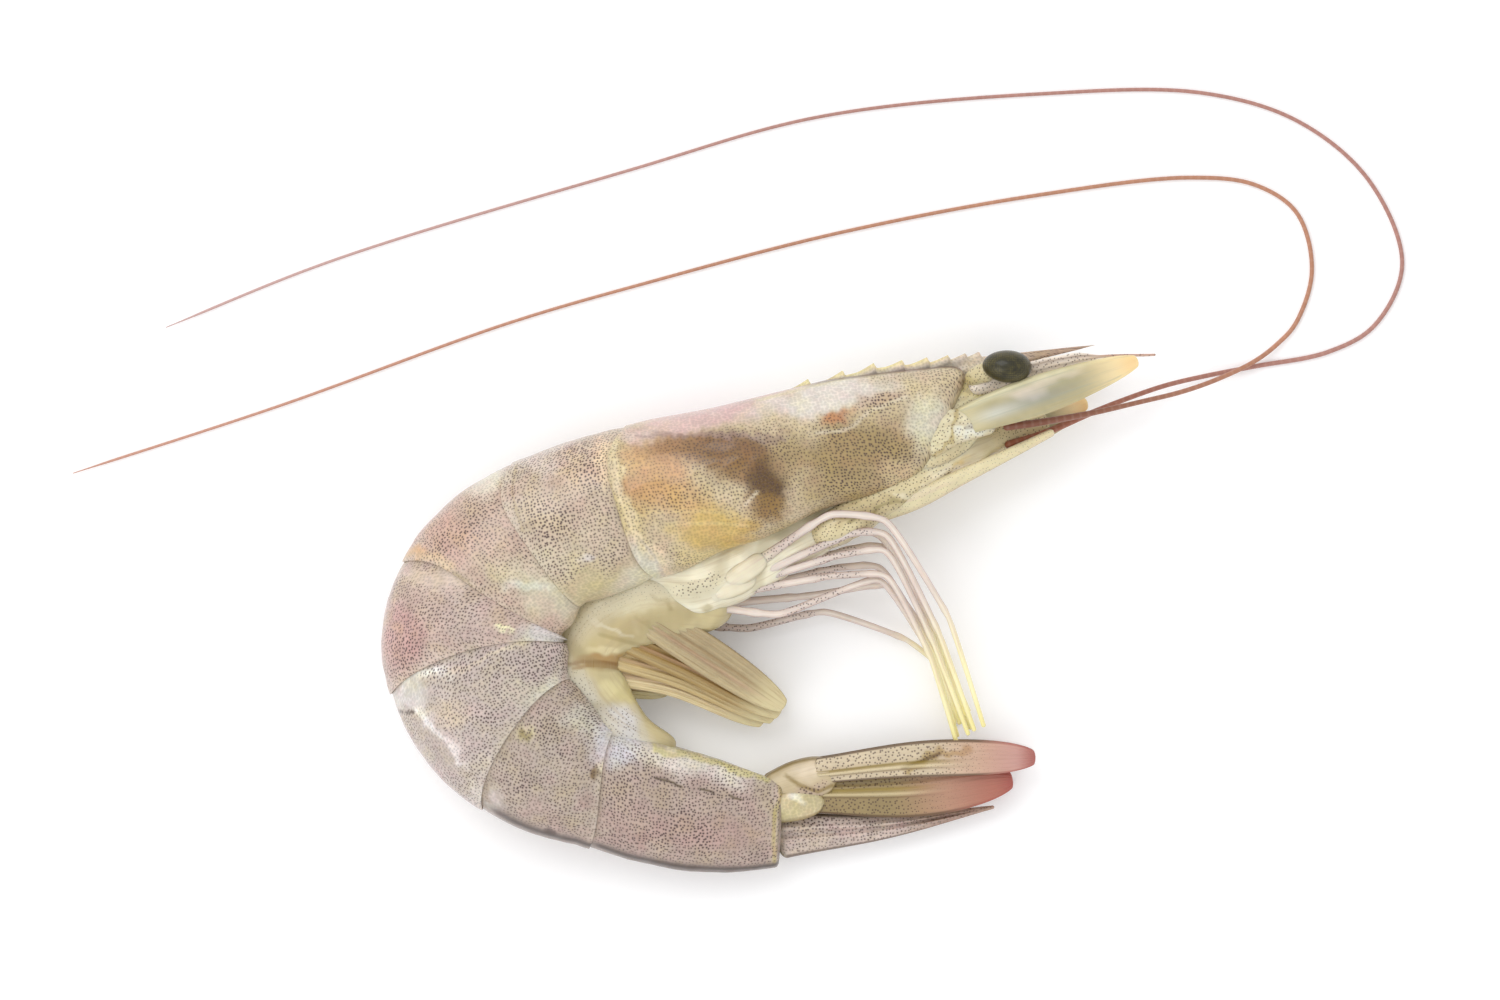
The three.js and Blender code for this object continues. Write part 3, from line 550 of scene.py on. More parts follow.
# Tail rings
# Patches, strokes and speckled places are in pixels of the picture, as painted reads them. A seam down the
# back has a start (1 is the middle of the back), a tone and a strength.
ringPaint = [
    {
        "ground": "#c3b09b",
        "patches": [
            (540, 455, 45, 20, 20, "#d3c4ba", 0.6),
            (575, 470, 24, 26, 0, "#d0b296", 0.45),
            (606, 462, 12, 26, 6, "#ecd3ae", 0.9),
            (590, 590, 60, 26, 20, "#c5b88e", 0.8),
            (565, 555, 45, 20, 15, "#cbc0a6", 0.6),
            (600, 530, 26, 26, 0, "#c9b9a2", 0.6),
            (640, 580, 30, 16, 20, "#d8d3bd", 0.7),
            (588, 560, 7, 6, 0, "#dcd4d4", 0.7),
            (575, 452, 8, 4, 30, "#9c7f78", 0.6),
            (640, 615, 40, 10, 10, "#b9ab76", 0.7),
        ],
        "strokes": [([(517, 465), (513, 492), (517, 508), (524, 530)], 3, "#a8946a", 0.5)],
        "speckled": [(590, 600, 60, 26, 15, 0.3, 1), (640, 580, 40, 26, 20, 0.25, 1)],
        "seam": (0.975, "#b08f86", 0.25),
    },
    {
        "ground": "#c0a896",
        "patches": [
            (486, 472, 26, 22, 40, "#dedac6", 0.8),
            (455, 538, 48, 24, -35, "#c3a08f", 0.7),
            (412, 551, 22, 9, -12, "#cd9f74", 0.85),
            (440, 560, 18, 6, -20, "#d8b892", 0.7),
            (545, 590, 60, 26, -22, "#cfc8ae", 0.85),
            (500, 560, 30, 18, -25, "#c9b9a0", 0.5),
            (530, 585, 26, 6, 0, "#dde0d6", 0.6),
            (600, 620, 26, 14, 0, "#c3b27c", 0.7),
        ],
        "strokes": [([(455, 572), (470, 581), (478, 596)], 3, "#8f7f4e", 0.5)],
        "speckled": [
            (560, 600, 60, 26, -20, 0.35, 1),
            (486, 472, 26, 22, 40, 0.5, 1),
            (412, 551, 18, 8, 0, 0.3, 1),
        ],
        "seam": (0.975, "#b08f86", 0.25),
    },
    {
        "ground": "#bda79a",
        "patches": [
            (425, 578, 40, 13, -8, "#d3c0b0", 0.7),
            (405, 640, 22, 38, 0, "#bf9992", 0.8),
            (470, 620, 26, 26, 0, "#c2b1a8", 0.6),
            (552, 636, 40, 17, 5, "#d4d1cc", 0.85),
            (480, 664, 50, 7, 8, "#cbb995", 0.6),
            (506, 627, 9, 2.5, 0, "#efe9c4", 0.9),
            (466, 592, 10, 12, 0, "#a9978c", 0.5),
        ],
        "speckled": [(552, 640, 40, 16, 0, 0.55, 1), (425, 575, 40, 10, -8, 0.45, 1)],
        "seam": (0.975, "#a5827a", 0.4),
    },
    {
        "ground": "#bfb1a8",
        "patches": [
            # The pale patch here is a painted highlight on the upper left of the ring
            (408, 692, 18, 16, 0, "#d8d4ce", 0.75),
            (450, 712, 22, 13, 10, "#cbb6a0", 0.5),
            (585, 690, 60, 18, 10, "#e0ddd0", 0.9),
            (575, 712, 30, 16, 0, "#cfccbd", 0.6),
            (520, 690, 30, 14, 0, "#c9c2ab", 0.5),
            (482, 792, 12, 12, 0, "#e3dcd6", 0.6),
        ],
        "strokes": [
            ([(398, 742), (422, 776), (462, 808)], 20, "#ba928f", 0.9),
            # Painted highlights: these near-white lines on the upper left of the ring are the wet shine of
            # the lamps
            ([(404, 681), (421, 675), (446, 674)], 10, "#e4ded8", 0.6),
            ([(404, 681), (421, 675), (438, 674)], 5, "#fbf9f6", 0.65),
            ([(446, 674), (486, 660), (523, 643)], 4, "#dccfb4", 0.6),
            # Painted highlight: a white streak of reflected lamp light down the upper left of the ring
            ([(416, 708), (436, 729), (456, 752), (470, 764)], 12, "#d9cec8", 0.6),
            ([(415, 707), (424, 716), (438, 733), (446, 743)], 5, "#ece6e2", 0.6),
            ([(417, 709), (425, 717), (434, 728)], 3.9, "#faf8f6", 0.6),
            ([(451, 748), (463, 761)], 6, "#efe8e4", 0.6),
            ([(400, 711), (404, 712)], 2.8, "#54483f", 0.9),
            ([(408, 712), (414, 711)], 3.4, "#54483f", 0.9),
        ],
        "speckled": [
            (585, 690, 60, 20, 10, 0.4, 1),
            # Fewer dots under the painted highlights on the upper left
            (410, 690, 20, 20, 0, 0.2, 1),
            (440, 740, 14, 40, 40, 0.5, 1),
        ],
        "seam": (0.97, "#a98780", 0.45),
    },
    {
        "ground": "#b5a598",
        "patches": [
            (612, 736, 30, 28, 15, "#d3d0d2", 0.95),
            (585, 715, 26, 14, 10, "#cac6b8", 0.7),
            (560, 830, 50, 12, -18, "#b39d90", 0.6),
            (526, 736, 9, 7, 0, "#d0c69c", 0.6),
            (526, 737, 5, 4, 0, "#857638", 0.75),
            (607, 768, 9, 12, 10, "#e0d9b4", 0.8),
            (597, 772, 5, 7, 0, "#71592f", 0.9),
            (616, 780, 6, 4, -20, "#5e4a2c", 0.9),
            (549, 832, 7, 5, -20, "#55453d", 0.9),
            (592, 801, 9, 10, 0, "#9b8478", 0.5),
            (545, 755, 20, 18, 0, "#bbaea4", 0.5),
        ],
        "strokes": [
            ([(497, 786), (494, 800), (499, 814)], 10, "#c8beb6", 0.4),
            ([(494, 790), (491, 801), (495, 811)], 4.2, "#e6dfda", 0.3),
        ],
        "speckled": [(620, 738, 26, 24, 15, 0.6, 1), (494, 802, 6, 18, 0, 0.0, 1)],
        "seam": (0.88, "#5f4535", 0.8),
    },
    {
        "ground": "#b29f93",
        "patches": [
            (622, 738, 24, 30, 10, "#d0ced4", 0.95),
            (700, 762, 70, 20, -14, "#e0d9cf", 0.9),
            (700, 832, 70, 20, -6, "#b2948a", 0.55),
            # A painted highlight: a small white glint on the belly edge
            (672, 744, 12, 4, 0, "#f0ede2", 0.7),
            (625, 815, 22, 22, 0, "#b79f93", 0.5),
            (640, 835, 12, 8, 0, "#a8847c", 0.4),
            (765, 800, 16, 26, 0, "#ae9f8c", 0.5),
        ],
        "strokes": [
            ([(654, 744), (686, 752), (730, 764), (766, 778)], 9, "#cfc690", 0.85),
            ([(655, 777), (668, 780), (682, 787)], 2.2, "#54452a", 1.0),
            ([(700, 788), (707, 790), (714, 793)], 2.0, "#54452a", 1.0),
            ([(730, 796), (742, 800)], 2.0, "#54452a", 1.0),
            ([(778, 776), (781, 797), (775, 812), (774, 845), (775, 868)], 3.9, "#ab9a55", 0.9),
            ([(778, 776), (785, 797), (779, 812), (778, 845), (780, 868)], 2.2, "#4f3f22", 0.8),
        ],
        "speckled": [(700, 762, 70, 14, -14, 0.8, 1), (660, 742, 40, 8, -10, 0.15, 1)],
        "seam": (0.84, "#4a3121", 0.9),
    },
]
relief = {
    "bow": 0.7,  # how far the flap of a ring hangs down in the middle of its length
    "tuck": 0.3,  # how far the front lies in under the rim before it
    "swell": 0.1,
    "bead": 0.02,
    "ripple": 0.07,
}
# The fine dark line beside the seam. Its place is the sine of the angle round the ring.
keel = {"place": 0.38, "spread": 0.13, "tone": "#3c2414"}


def ringGrid(index, rows=64, sides=208):
    start, end = ringStart[index], ringStart[index + 1]
    last = index == len(rings) - 1
    lip = body["lip"]
    shellStart = start + 0.7  # its front edge lies well under the rim in front
    shellEnd = end if last else end + body["lap"]
    share = np.linspace(0, 1, rows)
    shell = lerp(shellStart, shellEnd, share)
    clear = np.clip((shell - start - body["lap"]) / (end - start - body["lap"]), 0, 1)
    plain = [np.array([start, shellStart - 0.1]), shell]
    inset = [np.array([1.0, 0.9]) * (lip + body["gap"]), relief["tuck"] * (1 - clear) ** 2.2]
    # The rim thins to a rounded edge and turns under
    edge = np.linspace(0, math.pi, 7)[1:]
    if last:
        plain.append(np.array([end + 0.25, end + 0.45, end + 0.5]))
        inset.append(np.array([0.12, 0.5, 1.1]))
    else:
        plain.append(shellEnd + 0.1 * np.sin(edge))
        inset.append(0.12 * (1 - np.cos(edge)))
        plain.append(np.array([end + 0.4, end - body["gap"]]))
        inset.append(np.array([0.27, lip]))
    plain, inset = np.concatenate(plain)[:, None], np.concatenate(inset)[:, None]
    angle = np.linspace(0, turn, sides, endpoint=False)[None, :]
    c, n = np.cos(angle), np.sin(angle)
    along = np.clip((plain - shellStart) / (end - body["gap"] - shellStart), 0, 1)
    s = plain - lerp(rimShift(rims[index], c), rimShift(rims[index + 1], c), along)
    depth, width = spine(s)[3:]
    half = depth / 2 - inset
    drop = relief["bow"] * np.sin(math.pi * along)
    shown = np.where((plain > shellStart) & (plain < shellEnd - 0.2), 1.0, 0.0)
    # A shell swells a little between its rims, and its rear rim stands up in a low bead
    puff = relief["swell"] * np.sin(math.pi * along) + relief["bead"] * bell(plain, shellEnd - 0.5, 0.35)
    rise, side = oval(c, n, half + puff * shown, half + drop, width / 2 - inset + 0.6 * puff * shown)
    points = bodyPoint(s, rise, side)
    wave = relief["ripple"] * (waver(points, 7.5, 40 + index) + 0.5 * waver(points, 2.6, 60 + index)) * shown
    rise, side = rise * (1 - wave / 10), side * (1 - wave / 10)
    return bodyPoint(s, rise, side), along, c, n, plain, shellStart, shellEnd


for index, entry in enumerate(ringPaint):
    paint = dict(entry)
    seamStart, seamTone, seamStrength = paint.pop("seam")
    last = index == len(rings) - 1
    points, along, c, n, place, shellStart, shellEnd = ringGrid(index, rows=96 if last else 64)
    colour = painted(points, 100 + 10 * index, speckle=0.95, **paint)
    along, c, n, place = (np.broadcast_to(v, colour.shape[:2]) for v in (along, c, n, place))
    # The rear rim is a pale, clear line, and just behind the rim in front the skin is darkened as painted
    # shade under that rim
    laidOver(colour, "#dccfbb", 0.25 * bell(place, shellEnd - 0.1, 0.5), 0.4)
    laidOver(colour, "#a39379", 0.4 * bell(place, shellStart + 0.8, 0.5), 0.5)
    # The seam down the back darkens towards the tail, and on the fifth ring it comes in from nothing
    onset = ramp(along, 0.0, 0.35) if index == 4 else 0.6 + 0.4 * ramp(along, 0.0, 0.4)
    laidOver(colour, seamTone, seamStrength * ramp(c, seamStart, 1.0) * onset, 0.3)
    # Its upper edge is a fine dark line on the last two rings
    if index > 3:
        start = ramp(along, 0.02, 0.1) if last else onset
        laidOver(colour, keel["tone"], bell(n, keel["place"], keel["spread"]) * (c > 0) * start, 0.1)
    # The belly skin between the flaps is pale and plain
    laidOver(colour, "#cfc7a8", ramp(-c, 0.9, 1.0) * 0.8, 0.15)
    name = f"tail_ring_{index + 1}"
    shell = surfaceOf(points, colour, lieOver(points, 40.0 * index))
    newPiece(name + "_shell", [shell], tailShellLook, "tail_shell", name)
print("tail rings made")

# Head shell and beak
# Places along the head are millimetres in front of the neck. Each half size starts as its first number, and
# each change of it comes smoothly between two places.
headShell = {
    "front": 35.3,
    "frontRows": 4.2,  # the length over which rows crowd towards the front edge, and where even ones start
    "evenFrom": 31,
    "nose": 3.2,  # how far the front edge is rounded in, and where that starts
    "noseStart": 31.5,
    "slant": 0.75,  # how far the front edge reaches forward for each millimetre up, and from where on
    "roundTo": 24,
    "back": (9.85, (-0.45, 0, 10), (-2.5, 22, 38)),
    "belly": (10.2, (-1.6, 0, 8), (-2.1, 9, 21), (-0.9, 26, 36)),
    "half": (8.3, (0.15, -2, 6), (-3.8, 9, 37)),
    "downGroove": 0.22,
    "alongGroove": 0.25,
    "rimBead": 0.12,
}
rostrum = {"root": 10.0, "bend": 28.8, "tip": 55.3, "top": 9.4, "droop": 0.135, "thick": 0.55, "under": 5.7}
teeth = {"count": 8, "first": 20.3, "spacing": 4.5, "closing": 0.22, "height": 0.65, "length": 2.3}
headPaint = {
    "ground": "#c6b595",
    "speckle": 0.8,
    "patches": [
        (625, 500, 30, 60, -8, "#c5b184", 0.7),
        (700, 418, 90, 17, 13, "#cfb2aa", 0.95),
        (640, 436, 22, 10, 8, "#d9c2b4", 0.7),
        # A pale band along the top of the head, partly the clear shell and partly a painted highlight
        (825, 398, 75, 17, 11, "#ddd6cc", 0.9),
        (735, 402, 60, 5, 14, "#c9a9a4", 0.7),
        (655, 478, 36, 36, 0, "#c3935a", 0.8),
        (690, 450, 44, 16, -4, "#9a6d3e", 0.8),
        (738, 452, 56, 20, -4, "#745022", 0.92),
        (745, 470, 44, 20, -10, "#83612c", 0.85),
        (768, 484, 20, 27, 8, "#5b3f10", 0.97),
        (768, 508, 22, 15, 0, "#8d6a28", 0.85),
        (750, 528, 15, 9, 0, "#a8812f", 0.7),
        (715, 528, 40, 26, -8, "#cbac60", 0.85),
        (690, 500, 24, 18, 0, "#caa262", 0.6),
        (740, 545, 22, 10, 0, "#c1a250", 0.7),
        (700, 560, 26, 12, 0, "#d2bf8a", 0.7),
        (795, 455, 26, 22, 0, "#a08a5e", 0.6),
        (855, 452, 64, 34, 12, "#9a8352", 0.92),
        (850, 485, 54, 18, 12, "#a28c60", 0.8),
        (790, 530, 36, 12, 20, "#b9a878", 0.6),
        (840, 418, 17, 9, 12, "#bd8254", 0.9),
        (882, 400, 28, 8, 18, "#bba189", 0.8),
        (927, 424, 24, 28, 0, "#d5d0ba", 0.95),
        (905, 478, 22, 18, 20, "#c0ac80", 0.7),
        (900, 500, 50, 9, 24, "#b3a878", 0.6),
        (655, 580, 48, 20, -42, "#d6d2bf", 0.95),
        (640, 548, 14, 20, 30, "#cbc2b4", 0.6),
        (700, 595, 50, 14, 10, "#d9d3ba", 0.85),
        (690, 590, 24, 7, 20, "#a99f7c", 0.5),
        (725, 582, 14, 8, 0, "#b7a254", 0.6),
    ],
    "strokes": [
        ([(609, 436), (617, 461), (623, 492), (628, 516), (650, 545), (676, 592)], 12, "#e2cfab", 0.65),
        ([(640, 434), (700, 437), (745, 436), (790, 441)], 5, "#8f7672", 0.5),
        ([(650, 512), (700, 511), (735, 514)], 3.2, "#e2cf98", 0.3),
        ([(668, 524), (720, 523), (748, 526)], 3.2, "#e2cf98", 0.3),
        ([(816, 433), (842, 431), (852, 427), (868, 412), (905, 397)], 3.6, "#e6ddc6", 0.45),
        ([(745, 505), (757, 492)], 2.8, "#e6dcc2", 0.6),
        ([(700, 388), (760, 400), (830, 381), (900, 371), (975, 356)], 3.2, "#d3c58f", 0.4),
        ([(760, 565), (805, 540), (846, 520), (880, 512)], 4.5, "#cfc4a0", 0.6),
        ([(684, 594), (700, 580), (720, 566)], 2.2, "#6d6064", 0.5),
        ([(642, 540), (655, 556), (668, 584)], 3.0, "#a19aa0", 0.35),
    ],
    "speckled": [
        (700, 418, 100, 20, 13, 0.1, 1),
        # Few dots under the pale band with its painted highlight
        (825, 398, 80, 18, 11, 0.15, 1),
        (655, 480, 40, 34, 0, 0.72, 1),
        (715, 535, 44, 30, -8, 0.42, 1),
        (655, 580, 50, 24, -42, 0.3, 1),
        (855, 455, 62, 36, 12, 0.95, 1),
        (882, 402, 30, 9, 18, 1.0, 1),
        (927, 424, 24, 28, 0, 0.55, 1),
        (705, 582, 26, 12, 25, 0.9, 1),
        (620, 480, 14, 60, -8, 0.75, 1),
    ],
}


def profile(u, start, *changes):
    return start + sum(change * ramp(u, low, high) for change, low, high in changes)


def headGrid(rows=150, sides=220):
    front = headShell["front"] - headShell["frontRows"] * (1 - np.cos(np.linspace(0, math.pi / 2, 26)))
    u = np.concatenate([front, np.linspace(headShell["evenFrom"], -body["lap"], rows)[1:]])
    noseShare = np.clip((u - headShell["noseStart"]) / (headShell["front"] - headShell["noseStart"]), 0, 1)
    inset = headShell["nose"] * (1 - np.sqrt(1 - noseShare**3))
    edge = np.linspace(0, math.pi, 7)[1:]
    rimU = np.concatenate([-body["lap"] - 0.1 * np.sin(edge), [-0.4, 2 * body["gap"]]])
    rimInset = np.concatenate([0.12 * (1 - np.cos(edge)), [0.27, body["lip"]]])
    shown = np.concatenate([np.ones(len(u)), np.zeros(len(rimU))])[:, None]
    u, inset = np.concatenate([u, rimU])[:, None], np.concatenate([inset, rimInset])[:, None]
    angle = np.linspace(0, turn, sides, endpoint=False)[None, :]
    c, n = np.cos(angle), np.sin(angle)
    rise, side = oval(c, n, *(profile(u, *headShell[key]) - inset for key in ("back", "belly", "half")))
    # The gill cover: a shallow groove runs down the flank behind the jaws, and another along it. The rear rim
    # stands up in a low bead.
    down = bell(u, 17.5 + 0.45 * rise, 0.9) * ramp(np.abs(n), 0.2, 0.7) * ramp(-rise, -4, 1)
    along = bell(rise, 4.2 - 0.03 * u, 0.7) * ramp(u, 6, 14) * (1 - ramp(u, 27, 31))
    along = along * ramp(np.abs(n), 0.2, 0.6)
    bead = headShell["rimBead"] * bell(u, -0.6, 0.5)
    fold = bead - headShell["downGroove"] * down - headShell["alongGroove"] * along
    points = bodyPoint(-u, rise, side)
    wave = 0.1 * waver(points, 8.5, 3) + 0.045 * waver(points, 2.4, 4) + fold
    side = side + np.sign(n) * np.abs(n) * wave * shown
    shift = rimShift(rims[0], c) * (1 - ramp(u, 2 * body["gap"], 10))
    slant = headShell["slant"] * rise * ramp(u, headShell["roundTo"], headShell["front"])
    return bodyPoint(-u - shift - slant, rise, side), u, c, rise


points, u, c, rise = headGrid()
colour = painted(points, 7, **headPaint)
c = np.broadcast_to(c, colour.shape[:2])
# The back is pinker and clearer
laidOver(colour, "#cfa8a2", 0.5 * ramp(c, 0.965, 1.0), 0.1)
# A dark line lies along the foot of the teeth
laidOver(colour, "#5a463b", 0.8 * ramp(c, 0.95, 0.985) * ramp(u, 19, 23) * (1 - ramp(u, 33, 35)), 0.2)
laidOver(colour, "#cfc5a2", 0.6 * ramp(-c, 0.9, 1.0), 0.2)
headParts = [surfaceOf(points, colour, lieOver(points))]


def rostrumGrid(rows=420, sides=28):
    # A thin blade: a slim oval at each place along it, whose upper edge carries the teeth
    u = np.linspace(rostrum["root"], rostrum["tip"], rows)
    top = rostrum["top"] - rostrum["droop"] * np.maximum(u - rostrum["bend"], 0)
    k = np.arange(teeth["count"])
    peak = (teeth["first"] + 0.5 + teeth["spacing"] * k - teeth["closing"] * k**2)[None, :]
    behind = (u[:, None] - peak + teeth["length"]) / teeth["length"]
    saw = np.where(behind <= 1, np.clip(behind, 0, 1) ** 1.3, 1 - ramp(behind, 1.0, 1.09))
    top = top + teeth["height"] * (saw * (behind < 1.2)).max(1)
    top = top - 1.2 * (1 - ramp(u, rostrum["root"], rostrum["root"] + 9))
    under = rostrum["under"] - 0.8 * bell(u, headShell["front"], 3.0)
    end = np.sqrt(np.clip((rostrum["tip"] - u) / 2.2, 0.0005, 1))
    middle, half = (top + under) / 2, (top - under) / 2 * end
    thick = rostrum["thick"] * (1 - 0.65 * ramp(u, rostrum["bend"], rostrum["tip"])) * end
    angle = np.linspace(0, turn, sides, endpoint=False)[None, :]
    rise = middle[:, None] + half[:, None] * np.cos(angle)
    side = thick[:, None] * np.sign(np.sin(angle)) * np.abs(np.sin(angle)) ** 0.8
    # A rib along each face, low on the blade
    side = side * (1 + 0.5 * bell(rise, middle[:, None] - 0.5, 0.35))
    along = u[:, None] + 0 * rise
    return bodyPoint(-along, rise, side), along, rise - middle[:, None]


points, u, height = rostrumGrid()
colour = painted(points, 21, "#d2c3ae", speckle=0.55)
# The teeth are yellow above a dark line, the lower part is pale, and the tip is brown and speckled
laidOver(colour, "#e2d49b", 0.8 * ramp(height, 1.2, 1.8) * (1 - ramp(u, 44, 50)), 0.1)
laidOver(colour, "#4b4441", 0.8 * bell(height, 0.7, 0.45) * ramp(u, 15, 19) * (1 - ramp(u, 36, 42)), 0.0)
laidOver(colour, "#a3856e", 0.7 * ramp(u, 42, 50), 0.9)
laidOver(colour, "#9a6f5f", 0.5 * bell(height, -0.9, 0.25) * ramp(u, 40, 46), 0.2)
laidOver(colour, "#e3dccb", 0.7 * (1 - ramp(height, -1.2, 0.0)) * (1 - ramp(u, 38, 44)), 0.35)
headParts.append(surfaceOf(points, colour, lieOver(points, 90.0)))
newPiece("head_shell_and_beak", headParts, headShellLook, "head_shell", "carapace")
print("head shell made")

# What the head carries
middle = body["width"] / 2 - body["settle"]  # height of the plane that parts near from far


def paired(route, side, shift=0.0):
    # Points given with a height off the head's middle plane, on the upper or the lower side
    route = np.array(route, float)
    sign = 1 if side == "near" else -1
    return np.stack([route[:, 0], route[:, 1] + (shift if sign < 0 else 0), middle + sign * route[:, 2]], 1)


def taper(root, tip, power=1.0):
    return lambda s: lerp(root, tip, s**power)


def leaf(root, full, belly, blunt=2.6):
    # Narrow at the root, fullest at the share called belly. The blunter it is, the rounder it ends
    def half(s):
        past = np.clip((s - belly) / (1.02 - belly), 0, 1)
        end = np.maximum(full * np.sqrt(1 - past**blunt), 0.12)
        return np.where(s < belly, lerp(root, full, ramp(s, -0.1, belly)), end)

    return half


def lieOf(info):
    # Where each point lies on its piece: millimetres along it, across it, and its upper or lower face
    return np.stack([info["share"] * info["length"], info["across"] * info["wide"], info["up"] * 2.0], -1)


def limbPiece(name, material, slot, shapes, *nodes):
    parts = []
    for shape, paint in shapes:
        points, info = shape
        parts.append(surfaceOf(points, paint(points, info), lieOf(info)))
    return newPiece(name, parts, material, slot, *nodes)


breast = {
    "route": [
        (-13.0, -13.0, 8.0), (-9.8, -12.2, 8.0), (-5.0, -12.2, 8.0), (0.6, -10.1, 8.0), (7.0, -6.6, 8.0),
        (14.6, -3.1, 8.0),
    ],
    "full": 4.5,
    "ground": "#e9e2c9",
    # the tone of the painted shade in the hollows of the folds
    "fold": "#b5a983",
}


def breastWaves(s, c):  # soft folds that wander across
    return 17 * s + 2.8 * c + 1.6 * np.sin(13 * s)


def breastShape():
    lobes = lambda s: 2.4 + 1.8 * ramp(s, 0, 0.18) + 0.25 * np.abs(np.sin(6 * math.pi * s)) - 1.2 * s
    folds = lambda s, c, n: 0.22 * np.sin(breastWaves(s, c)) + 0.12 * np.sin(41 * s - 3.0 * c) - 0.3
    return carried(breast["route"], 240, 140, lobes, lambda s: breast["full"] - 1.5 * s, folds, 0.6)


def breastColour(points, info):
    marks = [
        (690, 600, 50, 12, 10, "#e9e4cd", 0.7),
        (655, 600, 30, 10, 0, "#cfc6a4", 0.6),
        (670, 606, 9, 5, -40, "#9a8b58", 0.8),
        (705, 610, 10, 4, -35, "#b0a478", 0.6),
    ]
    speckled = [(700, 584, 30, 8, 20, 0.8, 1)]
    colour = painted(points, 31, breast["ground"], marks, speckle=0.05, speckled=speckled)
    # Painted shade darkens the hollows between the folds
    creaseShade = ramp(-np.sin(breastWaves(info["share"], info["across"])), 0.3, 1.0)
    laidOver(colour, breast["fold"], 0.4 * creaseShade)
    return colour


limbPiece("breast_flesh", faceSkin, "head_flesh", [(breastShape(), breastColour)], "breast")

bellyRoute = [
    (-0.5, -15.0, 6.2), (-7.5, -14.4, 7.8), (-13.2, -15.4, 7.9), (-17.6, -18.6, 7.6), (-18.4, -22.9, 7.2),
    (-16.4, -26.8, 6.6), (-12.6, -29.9, 6.0), (-7.4, -31.8, 5.0),
]


def bellyWaves(s, c):
    return 21 * s + 2.2 * c + 1.8 * np.sin(11 * s)


def bellyShape():
    # A ridge of soft flesh, creased across where the swimming legs stand
    creases = lambda s, c, n: 0.22 * np.sin(bellyWaves(s, c)) + 0.12 * np.sin(49 * s + 1.5 * c) - 0.3
    full = lambda s: 5.0 - 2.0 * (1 - ramp(s, 0, 0.25)) - 0.6 * ramp(s, 0.33, 0.54) - 3.2 * ramp(s, 0.68, 1)
    thick = lambda s: 4.6 - 1.2 * (1 - ramp(s, 0, 0.25)) - 1.4 * s - 1.2 * ramp(s, 0.84, 1)
    return carried(bellyRoute, 260, 160, full, thick, creases, 0.5)


def bellyColour(points, info):
    marks = [
        (610, 625, 45, 22, 30, "#bcab7e", 0.8),
        (640, 598, 46, 14, 10, "#d6cda9", 0.9),
        (590, 598, 30, 10, 10, "#c9be94", 0.7),
        (585, 645, 14, 20, 0, "#c2b179", 0.8),
        # Painted shade in the crevice here, with the two dark strokes further down
        (604, 663, 30, 7, 4, "#a57f45", 0.8),
        (612, 650, 26, 5, 8, "#d8cba0", 0.7),
        (625, 676, 34, 6, 20, "#d9cfa0", 0.8),
        (640, 690, 20, 4, 30, "#a58a52", 0.7),
        (635, 694, 30, 12, -30, "#cfc28c", 0.9),
        (570, 696, 26, 26, 0, "#cdc9bd", 1.0),
        (612, 728, 44, 24, -38, "#cfccca", 1.0),
    ]
    strokes = [
        ([(577, 598), (590, 603), (600, 610)], 5, "#a39150", 0.6),
        ([(655, 598), (672, 606)], 4, "#9c8a55", 0.6),
        ([(588, 618), (606, 626), (628, 632)], 4, "#e2dac0", 0.5),
        ([(600, 634), (622, 640), (645, 646)], 3.9, "#96864f", 0.4),
        # Painted shade: two dark lines in the same crevice
        ([(570, 664), (585, 661), (604, 662), (630, 666)], 3.9, "#8a6430", 0.9),
        ([(574, 668), (590, 665), (608, 666), (622, 669)], 3.9, "#94703a", 0.8),
        ([(632, 616), (650, 622), (668, 624)], 4, "#a79a6c", 0.5),
    ]
    speckled = [(612, 728, 44, 24, -38, 0.7, 1), (570, 696, 26, 26, 0, 0.8, 1)]
    colour = painted(points, 32, "#c6b88c", marks, strokes, 0.05, speckled)
    share, across = info["share"], info["across"]
    # Along the rings the flesh takes on their colour and dots
    ringward = ramp(across, -0.35, 0.4) * (1 - ramp(share, 0.75, 0.87)) * (1 - 0.6 * bell(share, 0.57, 0.05))
    laidOver(colour, "#c8bfa6", 0.8 * ringward, 0.55)
    # Painted shade darkens the hollows of the creases
    creaseShade = ramp(-np.sin(bellyWaves(share, across)), 0.3, 1.0)
    laidOver(colour, "#95845a", 0.4 * creaseShade * (1 - ramp(share, 0.67, 0.79)))
    return colour


limbPiece("belly_flesh", faceSkin, "head_flesh", [(bellyShape(), bellyColour)], "belly")

faceRoute = [(19.5, 1.6, middle), (25.0, 6.6, middle), (30.5, 11.2, middle)]


def faceColour(points, info):
    marks = [
        (948, 400, 40, 22, 10, "#d9cfa6", 0.8),
        (950, 470, 30, 18, 30, "#d6c196", 0.8),
        (985, 460, 20, 10, 30, "#b9a27c", 0.5),
        (960, 388, 26, 10, 10, "#b5a25a", 0.6),
        (985, 392, 14, 8, 0, "#c9b96e", 0.6),
    ]
    strokes = [
        ([(925, 372), (945, 384), (975, 392), (1000, 390)], 4.2, "#93835a", 0.6),
        ([(930, 400), (950, 404), (966, 398)], 3.9, "#a59468", 0.5),
    ]
    return painted(points, 33, "#d7cda8", marks, strokes, 0.6)


jawRoute = [
    (8.5, -7.2, 8.2), (14.0, -4.2, 8.4), (20.0, -0.8, 8.3), (26.0, 2.8, 7.2), (30.0, 4.5, 5.0),
    (33.5, 6.0, 3.9), (37.5, 7.4, 3.6),
]


